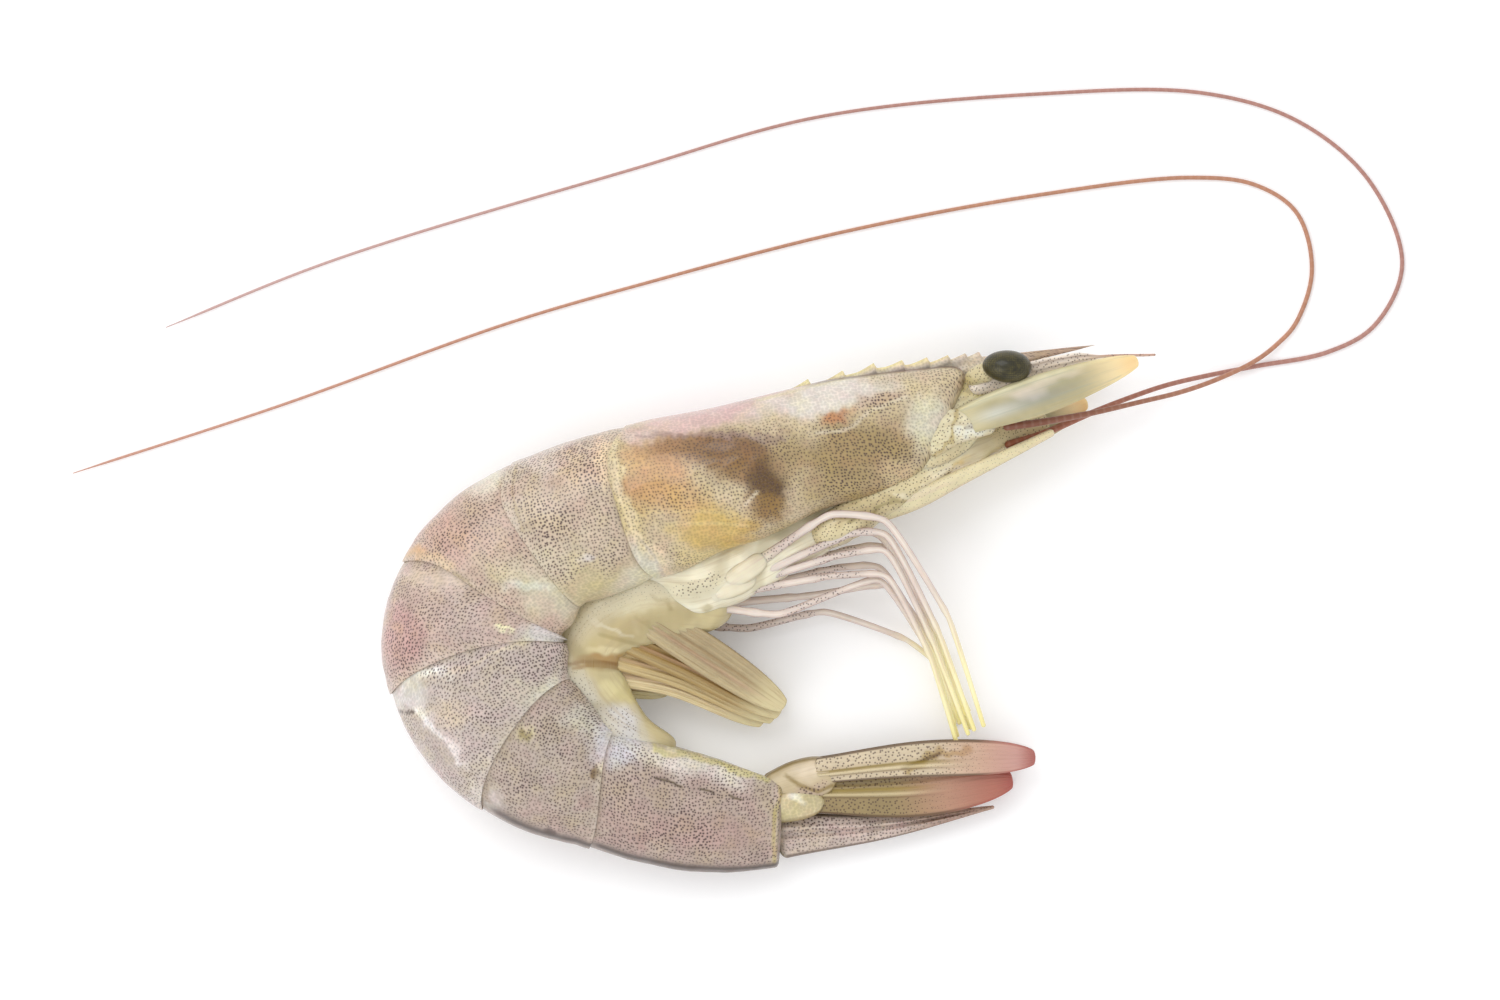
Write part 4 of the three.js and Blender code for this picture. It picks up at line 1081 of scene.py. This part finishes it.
def jawFleshColour(points, info):
    marks = [
        (900, 500, 45, 10, 24, "#c6b78c", 0.8),
        (860, 512, 30, 8, 20, "#bcab7e", 0.7),
        (948, 472, 30, 14, 30, "#f0e1c3", 0.95),
        (930, 487, 14, 4, 30, "#97847a", 0.6),
        (975, 450, 20, 10, 30, "#ddd2b2", 0.8),
        (960, 462, 9, 3, 25, "#e3c88e", 0.8),
    ]
    strokes = [
        ([(850, 522), (880, 510), (915, 492), (950, 474)], 4.2, "#8f8152", 0.6),
        ([(880, 520), (915, 506), (950, 488), (990, 466)], 3.9, "#a89a68", 0.6),
        ([(890, 496), (915, 486), (940, 478)], 4.2, "#e6dcc0", 0.7),
        ([(935, 470), (952, 462), (968, 456)], 3.9, "#ead8a8", 0.7),
    ]
    speckled = [(975, 450, 30, 20, 0, 0.2, 1)]
    return painted(points, 34, "#d5c8a0", marks, strokes, speckled=speckled)


faceFlesh = carried(faceRoute, 110, 110, taper(5.8, 2.4), taper(3.4, 2.0), fullness=0.8)
jawWide = lambda s: 2.6 + 0.12 * np.sin(40 * s) - 1.4 * s
jawFlesh = carried(jawRoute, 180, 110, jawWide, taper(5.2, 0.8), fullness=0.6)
faceShapes = [(faceFlesh, faceColour), (jawFlesh, jawFleshColour)]
limbPiece("face_flesh", faceSkin, "head_flesh", faceShapes, "face")

# Half sizes of the eyeball, how far it is off the middle plane, and its turn in degrees
eye = {"off": 4.2, "long": 2.95, "tall": 1.95, "thick": 2.3, "turn": -4}


def eyeGrid(off, rows=60, sides=72):
    # A ball drawn out along the head, a little fuller in front than behind
    down = np.linspace(0.02, math.pi - 0.02, rows)[:, None]
    angle = np.linspace(0, turn, sides, endpoint=False)[None, :]
    x = np.sin(down) * np.cos(angle)
    x = eye["long"] * (x + 0.06 * (1 - x**2))
    y = eye["tall"] * np.sin(down) * np.sin(angle)
    z = middle + off + eye["thick"] * np.cos(down) + 0 * angle
    a = math.radians(eye["turn"])
    turned = [x * math.cos(a) - y * math.sin(a), x * math.sin(a) + y * math.cos(a)]
    return np.stack([eyeHome[0] + turned[0], eyeHome[1] + turned[1], z], -1)


stalkRoute = [(27.6, 12.0, 1.6), (29.2, 12.9, 2.9), (30.6, 13.4, 3.7)]
feelerBaseRoute = [(21.5, 5.2, 2.7), (25.5, 6.5, 2.7), (31.0, 6.6, 2.1)]
antennuleRoute = [(27.8, 11.1, 1.5), (35.0, 13.3, 1.9), (42.8, 14.9, 1.8), (50.2, 15.2, 1.1)]
scaleRoutes = {
    "near": [(24.6, 6.3, 1.2), (28.0, 7.6, 3.2), (32.0, 9.0, 4.5), (38.0, 11.0, 4.4), (48.0, 14.5, 3.5)],
    "far": [(26.0, 3.9, 4.1), (33.0, 6.0, 4.3), (42.2, 9.6, 4.6)],
}
jawLegRoute = [(15.0, -4.0, 1.7), (21.0, -2.3, 2.4), (27.0, 0.6, 2.2), (33.2, 3.6, 1.6), (38.0, 6.0, 1.1)]
feelerRoutes = {
    "near": [
        (31.9, 6.5, 9.9), (36.4, 7.1, 9.1), (42.5, 8.2, 7.7), (48.6, 9.6, 6.0), (53.5, 10.8, 4.4),
        (57.8, 12.3, 2.9), (62.4, 14.5, 1.5), (65.2, 16.6, 0.8), (67.5, 19.2, 0.45), (69.4, 25.5, 0.4),
        (67.6, 32.4, 0.4), (62.6, 35.8, 0.4), (54.7, 36.7, 0.4), (36.4, 34.6, 0.4), (12.6, 30.1, 0.4),
        (-10.9, 24.0, 0.4), (-27.7, 19.1, 0.4), (-55.1, 9.2, 0.4), (-80.2, 1.0, 0.4),
    ],
    "far": [
        (32.2, 4.3, 5.9), (36.4, 5.6, 5.2), (42.5, 8.2, 4.1), (47.0, 10.0, 2.9), (51.7, 11.6, 1.9),
        (56.3, 12.7, 1.1), (62.4, 13.9, 0.45), (71.5, 15.7, 0.4), (77.0, 18.9, 0.4), (80.3, 26.2, 0.4),
        (76.4, 36.2, 0.4), (67.9, 43.4, 0.4), (56.3, 46.9, 0.4), (36.4, 46.8, 0.4), (9.7, 44.0, 0.4),
        (-13.0, 37.6, 0.4), (-48.8, 26.7, 0.4), (-69.0, 18.6, 0.4),
    ],
}
feelerTones = {"near": ("#83503c", "#b07a5e", "#bd8a76"), "far": ("#94553a", "#a8776c", "#bd9a95")}


def antennuleHalf(s):
    # A stout stem with two knots, which then becomes a thin whip
    knots = 0.1 * bell(s, 0.24, 0.02) + 0.08 * bell(s, 0.42, 0.02)
    return lerp(lerp(1.25, 0.85, s / 0.6), lerp(0.25, 0.14, s), ramp(s, 0.58, 0.72)) + knots


def baseHalf(s):
    return lerp(3.1, 0.75, s**1.4) + 0.12 * bell(s, 0.45, 0.03)


def stalkColour(points, info):
    marks = [(958, 384, 20, 8, 0, "#b3a268", 0.6)]
    return painted(points, 35, "#c5b991", marks)


def baseColour(points, info):
    marks = [
        (975, 430, 20, 9, 0, "#dfe0d8", 0.7),
        (935, 436, 14, 20, 20, "#dcd2ac", 0.6),
        (950, 462, 16, 8, 20, "#d8bf8c", 0.6),
    ]
    strokes = [
        ([(962, 392), (957, 415), (955, 440), (930, 462), (900, 472)], 4.2, "#b09c62", 0.7),
        ([(968, 396), (964, 420), (960, 444)], 3.9, "#e8e0c4", 0.6),
        ([(965, 428), (985, 426), (1000, 430)], 3.9, "#8d7f6c", 0.5),
    ]
    colour = painted(points, 36, "#dcd3b2", marks, strokes)
    laidOver(colour, "#b9a27a", 0.5 * ramp(np.abs(info["across"]), 0.8, 1.0))
    return colour


def antennuleColour(points, info):
    colour = painted(points, 37, "#e6dacb")
    laidOver(colour, "#7d6657", 0.8 * bell(info["across"], -0.45, 0.22) * ramp(info["share"], 0.1, 0.2))
    laidOver(colour, "#7d6657", 0.5 * bell(info["across"], 0.3, 0.12) * ramp(info["share"], 0.1, 0.2))
    laidOver(colour, "#a9776a", 0.6 * ramp(info["share"], 0.6, 0.8))
    return colour


def scaleColour(points, info):
    share, across = info["share"], info["across"]
    marks = [(1040, 386, 36, 8, 20, "#e8dacb", 0.9)]
    colour = painted(points, 38, "#b2a882", marks, speckle=0.0)
    laidOver(colour, "#7e8486", 0.55 * bell(across, 0.1, 0.35) * bell(share, 0.5, 0.2))
    laidOver(colour, "#d9dbd3", 0.6 * bell(across, 0.2, 0.35) * bell(share, 0.28, 0.14))
    laidOver(colour, "#d8d3b0", 0.7 * bell(across, -0.75, 0.2) * (1 - ramp(share, 0.6, 0.9)))
    laidOver(colour, "#aca684", 0.6 * bell(share, 0.6, 0.15) * bell(across, -0.3, 0.4))
    laidOver(colour, "#efdcae", 0.9 * ramp(share, 0.66, 0.94))
    laidOver(colour, "#cdc298", 0.9 * (1 - ramp(share, 0.08, 0.3)))
    laidOver(colour, "#eac98f", 0.7 * bell(share, 0.97, 0.06))
    laidOver(colour, "#7d6f62", 0.6 * ramp(-across, 0.93, 1.0) * (1 - ramp(share, 0.7, 0.85)))
    return colour


def jawColour(points, info):
    colour = painted(points, 39, "#dad0aa", speckle=0.45)
    laidOver(colour, "#b39f7e", 0.5 * ramp(np.abs(info["across"]), 0.7, 1.0))
    return colour


def feelerColour(tones):
    def colourAt(points, info):
        colour = painted(points, 41, tones[1], speckle=0.0)
        laidOver(colour, tones[0], 1 - ramp(info["share"], 0.0, 0.2))
        laidOver(colour, tones[2], ramp(info["share"], 0.55, 1.0))
        return colour

    return colourAt


def whip(route, rows=1300, sides=10):
    # A long thin rod, evenly divided, that ends in a point
    full = lambda s: lerp(0.36, 0.16, s**0.5) + 0.14 * (1 - ramp(s, 0.0, 0.08))
    return carried(route, rows, sides, lambda s: full(s) * (1 - 0.6 * ramp(s, 0.97, 1)), full)


def scaleRelief(s, c, n):
    # A stiff rib along the outer edge of the blade, and a dished middle
    return 0.25 * bell(c, -0.82, 0.1) * (1 - ramp(s, 0.8, 0.95)) - 0.12 * bell(c, 0.1, 0.5)


for side in ("near", "far"):
    shift, off = (-2.2, -eye["off"]) if side == "far" else (0.0, eye["off"])
    ball = eyeGrid(off)
    white = np.ones(ball.shape[:2] + (4,))
    newPiece("eye_ball_" + side, [surfaceOf(ball, white)], eyeLook, "eye", "eye_" + side)
    stalk = carried(paired(stalkRoute, side), 30, 36, taper(0.9, 1.4), taper(0.9, 1.4))
    base = carried(paired(feelerBaseRoute, side, shift), 110, 90, baseHalf, taper(1.9, 0.7))
    antennule = carried(paired(antennuleRoute, side), 110, 24, antennuleHalf, antennuleHalf)
    scaleHalf = leaf(1.4, 2.45, 0.5, 1.5)
    scale = carried(paired(scaleRoutes[side], side), 90, 64, scaleHalf, taper(0.5, 0.3), scaleRelief)
    jawLeg = carried(paired(jawLegRoute, side), 80, 30, taper(1.5, 0.45), taper(1.0, 0.4))
    for kind, shape, paint, material, slotName in (
        ("eye_stalk", stalk, stalkColour, faceSkin, "head_flesh"),
        ("feeler_base", base, baseColour, faceSkin, "head_flesh"),
        ("antennule", antennule, antennuleColour, faceSkin, "head_flesh"),
        ("feeler_scale", scale, scaleColour, scaleHorn, "feeler_scale"),
        ("feeler", whip(feelerRoutes[side]), feelerColour(feelerTones[side]), feelerHorn, "feeler"),
        ("jaw_leg", jawLeg, jawColour, legSkin, "walking_leg"),
    ):
        limbPiece(f"{kind}_skin_{side}", material, slotName, [(shape, paint)], f"{kind}_{side}")
print("head pieces made")

# Walking legs
# Each has the place of its hip, then the length and heading in degrees of each of its spans
legs = {
    "near_1": ((2.5, -9.7), ((10.5, 34), (6.6, -6), (13.9, -57), (14.0, -72))),
    "near_2": ((1.2, -11.8), ((14.2, 24), (3.7, -2), (13.5, -62), (12.7, -70))),
    "near_3": ((-0.8, -12.8), ((13.9, 17), (5.4, 7), (12.4, -63), (12.2, -69))),
    "near_4": ((-2.8, -13.8), ((14.6, 10), (6.4, 1), (11.2, -62), (10.8, -73))),
    "near_5": ((-5.2, -14.6), ((10.2, -8), (13.0, 20), (11.1, -56), (10.5, -72))),
    "far_1": ((2.6, -10.7), ((10.0, 30), (6.0, -6), (13.4, -60), (10.9, -71))),
    "far_2": ((1.0, -12.6), ((13.0, 20), (4.6, 6), (12.8, -61), (9.8, -66))),
    "far_3": ((-1.0, -13.6), ((13.6, 14), (5.0, 2), (12.4, -58), (9.2, -70))),
    "far_4": ((-3.2, -14.8), ((12.0, 5), (9.8, 8), (11.2, -55), (9.0, -68))),
    "far_5": ((-6.0, -17.0), ((7.2, -6), (9.6, 13), (10.6, -19), (6.0, -40), (6.6, -80))),
}
legHeights = {  # of the first leg, and how much lower each next one lies
    "near": {"hip": (10.6, 0.5), "knee": (13.2, 1.05), "foot": (7.6, 0.82)},
    "far": {"hip": (5.9, 0.5), "knee": (6.6, 1.02), "foot": (3.7, 0.8)},
}
# edge is the tone of the painted shade along the sides of each leg
legTones = {"flesh": "#d8ccc2", "edge": "#b09296", "foot": "#f6edb8", "claw": "#e9dc7e"}


def legRoute(name):
    side, number = name.split("_")
    (x, y), reach = legs[name]
    heights = {key: high - (int(number) - 1) * step for key, (high, step) in legHeights[side].items()}
    route = [(x, y, heights["hip"])]
    for joint, (length, heading) in enumerate(reach):
        x, y = x + length * math.cos(math.radians(heading)), y + length * math.sin(math.radians(heading))
        drop = max(joint - 1, 0) / (len(reach) - 2)
        route.append((x, y, lerp(heights["knee"], heights["foot"], drop)))
    return route


def angular(route, near=0.7):
    # The same route with extra points close to its joints, so that it bends there and is straight between
    p = np.array(route, float)
    points = [p[0]]
    for a, b in zip(p[:-1], p[1:]):
        run = (b - a) / np.linalg.norm(b - a)
        points += [a + near * run, b - near * run]
    return points + [p[-1]]


def legShape(name):
    route = legRoute(name)
    spans = np.array([length for length, _ in legs[name][1]])
    joints = np.cumsum(spans)[:-1] / spans.sum()

    def knots(s, past=0.0):  # the joints, or what lies a little past them
        return sum(bell(s, joint + past, 0.012) for joint in joints)

    slim = lambda s: lerp(lerp(0.95, 0.54, ramp(s, 0, 0.2)), 0.27, s)
    half = lambda s: slim(s) * (1 + 0.16 * knots(s) - 0.1 * knots(s, 0.03))
    thick = lambda s: lerp(0.44, 0.26, s) * (1 + 0.1 * knots(s))
    # The limb grows out of a stout joint at the breast. Both are laid out along the first span.
    (x, y, z), heading = route[0], math.radians(legs[name][1][0][1])
    along = lambda d, rise: (x + d * math.cos(heading), y + d * math.sin(heading), z + rise)
    limb = carried([along(-2.6, -2.0), along(1, 0)] + angular(route)[1:], 200, 24, half, thick)
    root = [along(-4.6, -0.2), along(-1.8, 0.7), along(1.2, 0.2)]
    return limb, carried(root, 40, 28, leaf(1.1, 1.35, 0.5), taper(1.2, 0.7))


def legColour(number, dotted):
    def colourAt(points, info):
        share, across = info["share"], info["across"]
        colour = painted(points, 50 + number, legTones["flesh"], speckle=0.0)
        # Painted shade darkens both sides of the leg, and a painted highlight runs along its middle
        laidOver(colour, legTones["edge"], 0.75 * ramp(np.abs(across), 0.72, 1.0))
        laidOver(colour, "#f5efe4", 0.4 * bell(across, 0.15, 0.25) * ramp(share, 0.1, 0.3))
        laidOver(colour, legTones["foot"], 0.85 * ramp(share, 0.62, 0.85))
        laidOver(colour, legTones["claw"], 0.6 * ramp(share, 0.9, 1.0))
        for low, high in dotted:
            band = ramp(share, low - 0.02, low + 0.02) * (1 - ramp(share, high - 0.02, high + 0.02))
            colour[..., 3] = np.maximum(colour[..., 3], 0.75 * band)
            laidOver(colour, "#a58f8c", 0.25 * band)
        laidOver(colour, "#ddd5b8", 1 - ramp(share, 0.06, 0.16))
        return colour

    return colourAt


def rootColour(points, info):
    colour = painted(points, 49, "#e2dac0", speckle=0.1)
    laidOver(colour, "#b5a681", 0.6 * ramp(np.abs(info["across"]), 0.75, 1.0))
    return colour


legDots = {  # shares of each leg's length between which it is dotted
    "near_1": [(0.08, 0.2)],
    "near_2": [(0.24, 0.42)],
    "near_3": [(0.08, 0.22), (0.3, 0.42)],
    "near_4": [(0.1, 0.26), (0.34, 0.46)],
    "near_5": [(0.3, 0.46)],
    "far_2": [(0.3, 0.42)],
    "far_3": [(0.3, 0.42)],
    "far_5": [(0.06, 0.45)],
}
for number, name in enumerate(legs):
    limb, root = legShape(name)
    shapes = [(limb, legColour(number, legDots.get(name, []))), (root, rootColour)]
    limbPiece("leg_skin_" + name, legSkin, "walking_leg", shapes, "leg_" + name)
print("walking legs made")

# Swimming legs
# Each has the place of its root, how far its middle bows, the place of its tip and its half width
swimmerets = [
    ((-12.0, -15.4), 0.1, (5.7, -27.1), 2.0),
    ((-15.6, -17.2), 0.6, (5.2, -27.9), 2.0),
    ((-17.8, -19.4), 1.2, (4.5, -28.5), 1.9),
    ((-18.6, -21.8), 1.5, (3.2, -29.0), 1.7),
    ((-18.0, -24.2), 0.4, (-8.2, -25.2), 1.5),
]
# Heights of the first one's root and tip, each with how much lower the next one lies
swimmeretHeights = {"near": (11.6, 0.95, 6.8, 1.0), "far": (6.4, 0.95, 2.6, 0.55)}
swimmeretTones = ["#b1a07c", "#9d8149", "#c4ad7a", "#ddcaa0", "#d8cb9c"]


def swimmeretShape(side, index):
    (x0, y0), bow, (x1, y1), full = swimmerets[index]
    root, rootStep, tip, tipStep = swimmeretHeights[side]
    z0, z1 = root - rootStep * index, tip - tipStep * index
    length = math.hypot(x1 - x0, y1 - y0)
    ux, uy = (x1 - x0) / length, (y1 - y0) / length
    half = ((x0 + x1) / 2 - bow * uy, (y0 + y1) / 2 + bow * ux, (z0 + z1) / 2)
    # Fine lengthwise pleats, which die out at both ends
    fade = lambda s: ramp(s, 0.15, 0.35) * (1 - ramp(s, 0.7, 0.92))
    pleats = lambda s, c, n: 0.14 * np.cos(7 * math.pi * c + 2 * s) * fade(s)
    route = [(x0 - 2.5 * ux, y0 - 2.5 * uy, z0 - 5.0), (x0 + ux, y0 + uy, z0 - 0.9), half, (x1, y1, z1)]
    return carried(route, 120, 96, leaf(1.5, full + 0.3, 0.45, 3.0), taper(0.5, 0.26), pleats)


def swimmeretColour(index):
    def colourAt(points, info):
        share, across = info["share"], info["across"]
        colour = painted(points, 70 + index, swimmeretTones[index], speckle=0.0)
        laidOver(colour, "#b98f78", 0.4 * bell(across, 0.3, 0.12) * ramp(share, 0.15, 0.4))
        laidOver(colour, "#8d7248", 0.55 * bell(across, -0.1, 0.1) * ramp(share, 0.1, 0.3))
        laidOver(colour, "#cdbd92", 0.4 * bell(across, 0.75, 0.14))
        laidOver(colour, "#d3c79c", 0.85 * ramp(share, 0.76, 0.95))
        laidOver(colour, "#c7b78a", 0.7 * (1 - ramp(share, 0.02, 0.2)))
        laidOver(colour, "#7f6a45", 0.5 * ramp(np.abs(across), 0.92, 1.0))
        return colour

    return colourAt


for side in ("near", "far"):
    for index in range(len(swimmerets)):
        name = f"{side}_{index + 1}"
        shapes = [(swimmeretShape(side, index), swimmeretColour(index))]
        limbPiece("swimmeret_skin_" + name, swimmeretSkin, "swimming_leg", shapes, "swimmeret_" + name)
print("swimming legs made")

# Tail fan
fanHeights = {
    "near": {"base": 4.6, "thick": 1.6, "inner": 4.9, "outer": 6.0},
    "far": {"base": 1.4, "thick": 1.1, "inner": 1.6, "outer": 0.6},
}
fanTones = {
    "horn": "#cbbb9f",
    "innerHorn": "#938058",
    "ridge": "#9c8638",
    "edge": "#57402c",
    "red": "#c0928a",
    "innerRed": "#a96355",
    "deepRed": "#9c4a44",
}
fanRibs = {"outer": 0.35, "inner": -0.1}  # where the stiff rib lies across each blade


def telsonRelief(s, c, n):
    # A groove down the middle between two low ridges
    ridges = 0.25 * (bell(c, 0.3, 0.14) + bell(c, -0.3, 0.14)) - 0.35 * bell(c, 0, 0.12)
    return np.where(n > 0, ridges, 0) * (1 - ramp(s, 0.7, 0.95))


def telsonColour(points, info):
    share, across = info["share"], info["across"]
    colour = painted(points, 80, "#c6b5aa", speckle=0.95)
    laidOver(colour, fanTones["ridge"], 0.7 * ramp(-across, 0.8, 1.0) * (1 - ramp(share, 0.7, 0.9)), 0.2)
    laidOver(colour, fanTones["edge"], 0.85 * ramp(np.abs(across), 0.8, 0.92), 0.1)
    laidOver(colour, "#8f6d58", 0.7 * ramp(share, 0.5, 0.8), 0.4)
    laidOver(colour, "#d8cfb4", 0.7 * (1 - ramp(share, 0.0, 0.06)), 0.1)
    return colour


telsonRoute = [(4.6, -42.6, 3.4), (18.0, -41.6, 3.1), (31.0, -39.2, 2.8)]
telsonShape = carried(telsonRoute, 100, 96, taper(3.1, 0.2, 0.8), taper(1.5, 0.2, 0.8), telsonRelief)
jointRoute = [(3.2, -39.4, 5.6), (6.5, -39.0, 5.6), (10.5, -38.4, 5.0)]
jointShape = carried(jointRoute, 40, 40, leaf(1.7, 1.9, 0.4), taper(1.5, 0.9))


def jointColour(points, info):
    marks = [(797, 799, 12, 6, 0, "#ece6d6", 0.9)]
    colour = painted(points, 86, "#c8bb92", marks, speckle=0.1)
    laidOver(colour, "#8a7640", 0.7 * ramp(np.abs(info["across"]), 0.7, 0.9), 0.0)
    return colour


telsonShapes = [(telsonShape, telsonColour), (jointShape, jointColour)]
limbPiece("telson_shell", tailShellLook, "tail_shell", telsonShapes, "telson")


def bladeRelief(rib):
    # Two thick ridges and the valley between them, dying out before the soft end
    def at(s, c, n):
        ridges = 0.3 * (bell(c, rib, 0.1) + 0.8 * bell(c, rib - 0.34, 0.08))
        ridges = ridges - 0.12 * bell(c, rib - 0.17, 0.08)
        return ridges * (1 - ramp(s, 0.5, 0.8)) + 0.03 * np.cos(24 * c)

    return at


def bladeColour(rib, redFrom, seed, strokes=()):
    def colourAt(points, info):
        share, across = info["share"], info["across"]
        horn, red = ("horn", "red") if rib > 0 else ("innerHorn", "innerRed")
        colour = painted(points, seed, fanTones[horn], strokes=strokes, speckle=0.85)
        upto = 1 - ramp(share, 0.45, 0.75)
        laidOver(colour, "#d6c69c", 0.7 * bell(across, rib, 0.12) * upto, 0.0)
        laidOver(colour, fanTones["ridge"], 0.8 * bell(across, rib - 0.2, 0.09) * upto, 0.0)
        laidOver(colour, "#6e5530", 0.7 * bell(across, rib + 0.16, 0.05) * upto, 0.0)
        laidOver(colour, "#c08d7c", 0.65 * ramp(share, redFrom - 0.25, redFrom + 0.1), 0.15)
        laidOver(colour, fanTones[red], 0.85 * ramp(share, redFrom, 0.93), 0.1)
        laidOver(colour, fanTones["deepRed"], 0.75 * ramp(share, 0.9, 1.0))
        soft = ramp(share, redFrom, 0.9)
        laidOver(colour, fanTones["edge"], 0.85 * ramp(np.abs(across), 0.84, 0.93) * (1 - soft), 0.1)
        laidOver(colour, fanTones["deepRed"], 0.6 * ramp(np.abs(across), 0.84, 0.95) * soft, 0.1)
        return colour

    return colourAt


def fanBaseColour(points, info):
    marks = [(808, 768, 18, 12, 20, "#dccbb0", 0.9), (812, 790, 18, 8, 15, "#bba58f", 0.9)]
    strokes = [([(786, 776), (800, 786), (818, 792), (832, 786)], 3.9, "#8b7540", 0.8)]
    speckled = [(812, 790, 18, 8, 15, 1.0, 1)]
    colour = painted(points, 84, "#c1b08e", marks, strokes, 0.15, speckled)
    laidOver(colour, "#7f6a38", 0.8 * ramp(np.abs(info["across"]), 0.8, 0.92), 0.1)
    laidOver(colour, "#b39a52", 0.6 * ramp(info["share"], 0.85, 1.0), 0.1)
    return colour


# The seam that parts the outer blade's soft end from its hard root
bladeSeam = [
    ([(904, 768), (922, 760), (945, 753), (968, 748)], 7, "#a68d55", 0.8),
    ([(904, 768), (920, 762), (940, 754)], 3.9, "#5f4a22", 0.85),
]
outerColour = bladeColour(fanRibs["outer"], 0.72, 81, bladeSeam)
innerColour = bladeColour(fanRibs["inner"], 0.62, 82)
for side, height in fanHeights.items():
    h, high, low = height["base"], height["outer"], height["inner"]
    baseRoute = [(3.2, -37.6, h), (7.6, -36.2, h + 0.2), (12.2, -34.9, h + 0.3)]
    outerRoute = [(9.4, -34.8, high), (22.0, -33.4, high), (35.9, -33.2, high - 0.6)]
    innerRoute = [(8.6, -37.9, low), (22.0, -37.6, low), (33.2, -35.9, low - 0.6)]
    base = carried(baseRoute, 50, 60, leaf(2.0, 2.7, 0.5), taper(height["thick"], height["thick"]))
    blade = taper(0.45, 0.25)
    outer = carried(outerRoute, 110, 96, leaf(1.5, 2.15, 0.6), blade, bladeRelief(fanRibs["outer"]))
    inner = carried(innerRoute, 110, 96, leaf(1.9, 2.7, 0.5), blade, bladeRelief(fanRibs["inner"]))
    limbPiece("fan_base_skin_" + side, fanSkin, "tail_fan", [(base, fanBaseColour)], "fan_base_" + side)
    limbPiece("fan_outer_blade_" + side, fanSkin, "tail_fan", [(outer, outerColour)], "fan_outer_" + side)
    limbPiece("fan_inner_blade_" + side, fanSkin, "tail_fan", [(inner, innerColour)], "fan_inner_" + side)
print("tail fan made")

# Floor, light and camera
studio = {
    "floor": "#f7f7f8",
    "lift": 0.1,  # light from a glowing table top, which keeps the shadow pale
    "sky": 0.92,
    "key": {"place": (-0.35, 0.45, 0.8), "size": 0.6, "power": 2.6},
    "fill": {"place": (-0.45, -0.4, 0.6), "size": 0.5, "power": 1.0},
    "floorSize": 4,
    "lens": 250,
    "sensor": 36,
    "frameWidth": 0.18,  # metres seen across the picture
    "level": 0.008,  # height at which that holds
    "aim": (750, 500),  # the middle of the picture, in pixels
}
bpy.ops.mesh.primitive_plane_add(size=studio["floorSize"])
floor = bpy.context.object
floor.name = "floor"
# Matt white paper, pressed: it gives the eye an even white with hardly any grain
paperLook = {
    "Base Color": rgba(studio["floor"]),
    "Roughness": 0.8,
    "Specular IOR Level": 0.1,
    "Emission Color": (1, 1, 1, 1),
    "Emission Strength": studio["lift"],
}
material, tree, shader = newMaterial("matt_white_paper", paperLook)
spot = add(tree, "TexCoord").outputs["Object"]
paper = add(tree, "TexNoise", {"Vector": spot, "Scale": 900.0, "Detail": 2.0})
bump = add(tree, "Bump", {"Strength": 0.02, "Distance": 0.1 * metre, "Height": paper.outputs["Fac"]})
tree.links.new(bump.outputs[0], shader.inputs["Normal"])
floor.data.materials.append(material)

scene = bpy.context.scene
world = bpy.data.worlds.new("white_tent")
scene.world = world
world.use_nodes = True
sky = world.node_tree.nodes["Background"]
sky.inputs["Color"].default_value = (1, 1, 1, 1)
sky.inputs["Strength"].default_value = studio["sky"]


def look(obj, place, target):
    # Puts a lamp or the camera in place, turned towards the target
    obj.location = place
    away = np.array(place) - np.array(target)
    flat = math.hypot(away[0], away[1])
    obj.rotation_euler = (math.atan2(flat, away[2]), 0, math.atan2(away[0], -away[1]) if flat > 1e-6 else 0)


for name in ("key", "fill"):
    lamp = bpy.data.lights.new(name, "AREA")
    lamp.size = studio[name]["size"]
    lamp.energy = studio[name]["power"]
    lampObject = bpy.data.objects.new(name, lamp)
    scene.collection.objects.link(lampObject)
    look(lampObject, studio[name]["place"], (0, 0, 0))

aim = (plan(*studio["aim"]) + moved) * metre
camera = bpy.data.objects.new("camera", bpy.data.cameras.new("camera"))
camera.data.lens = studio["lens"]
camera.data.sensor_width = studio["sensor"]
camera.data.clip_end = 20
distance = studio["frameWidth"] * studio["lens"] / studio["sensor"]
look(camera, (aim[0], aim[1], studio["level"] + distance), (aim[0], aim[1], 0))
scene.collection.objects.link(camera)
scene.camera = camera
scene.view_settings.view_transform = "Standard"
print("studio made")


def plain(bounds):
    return [[float(v) for v in corner] for corner in bounds]
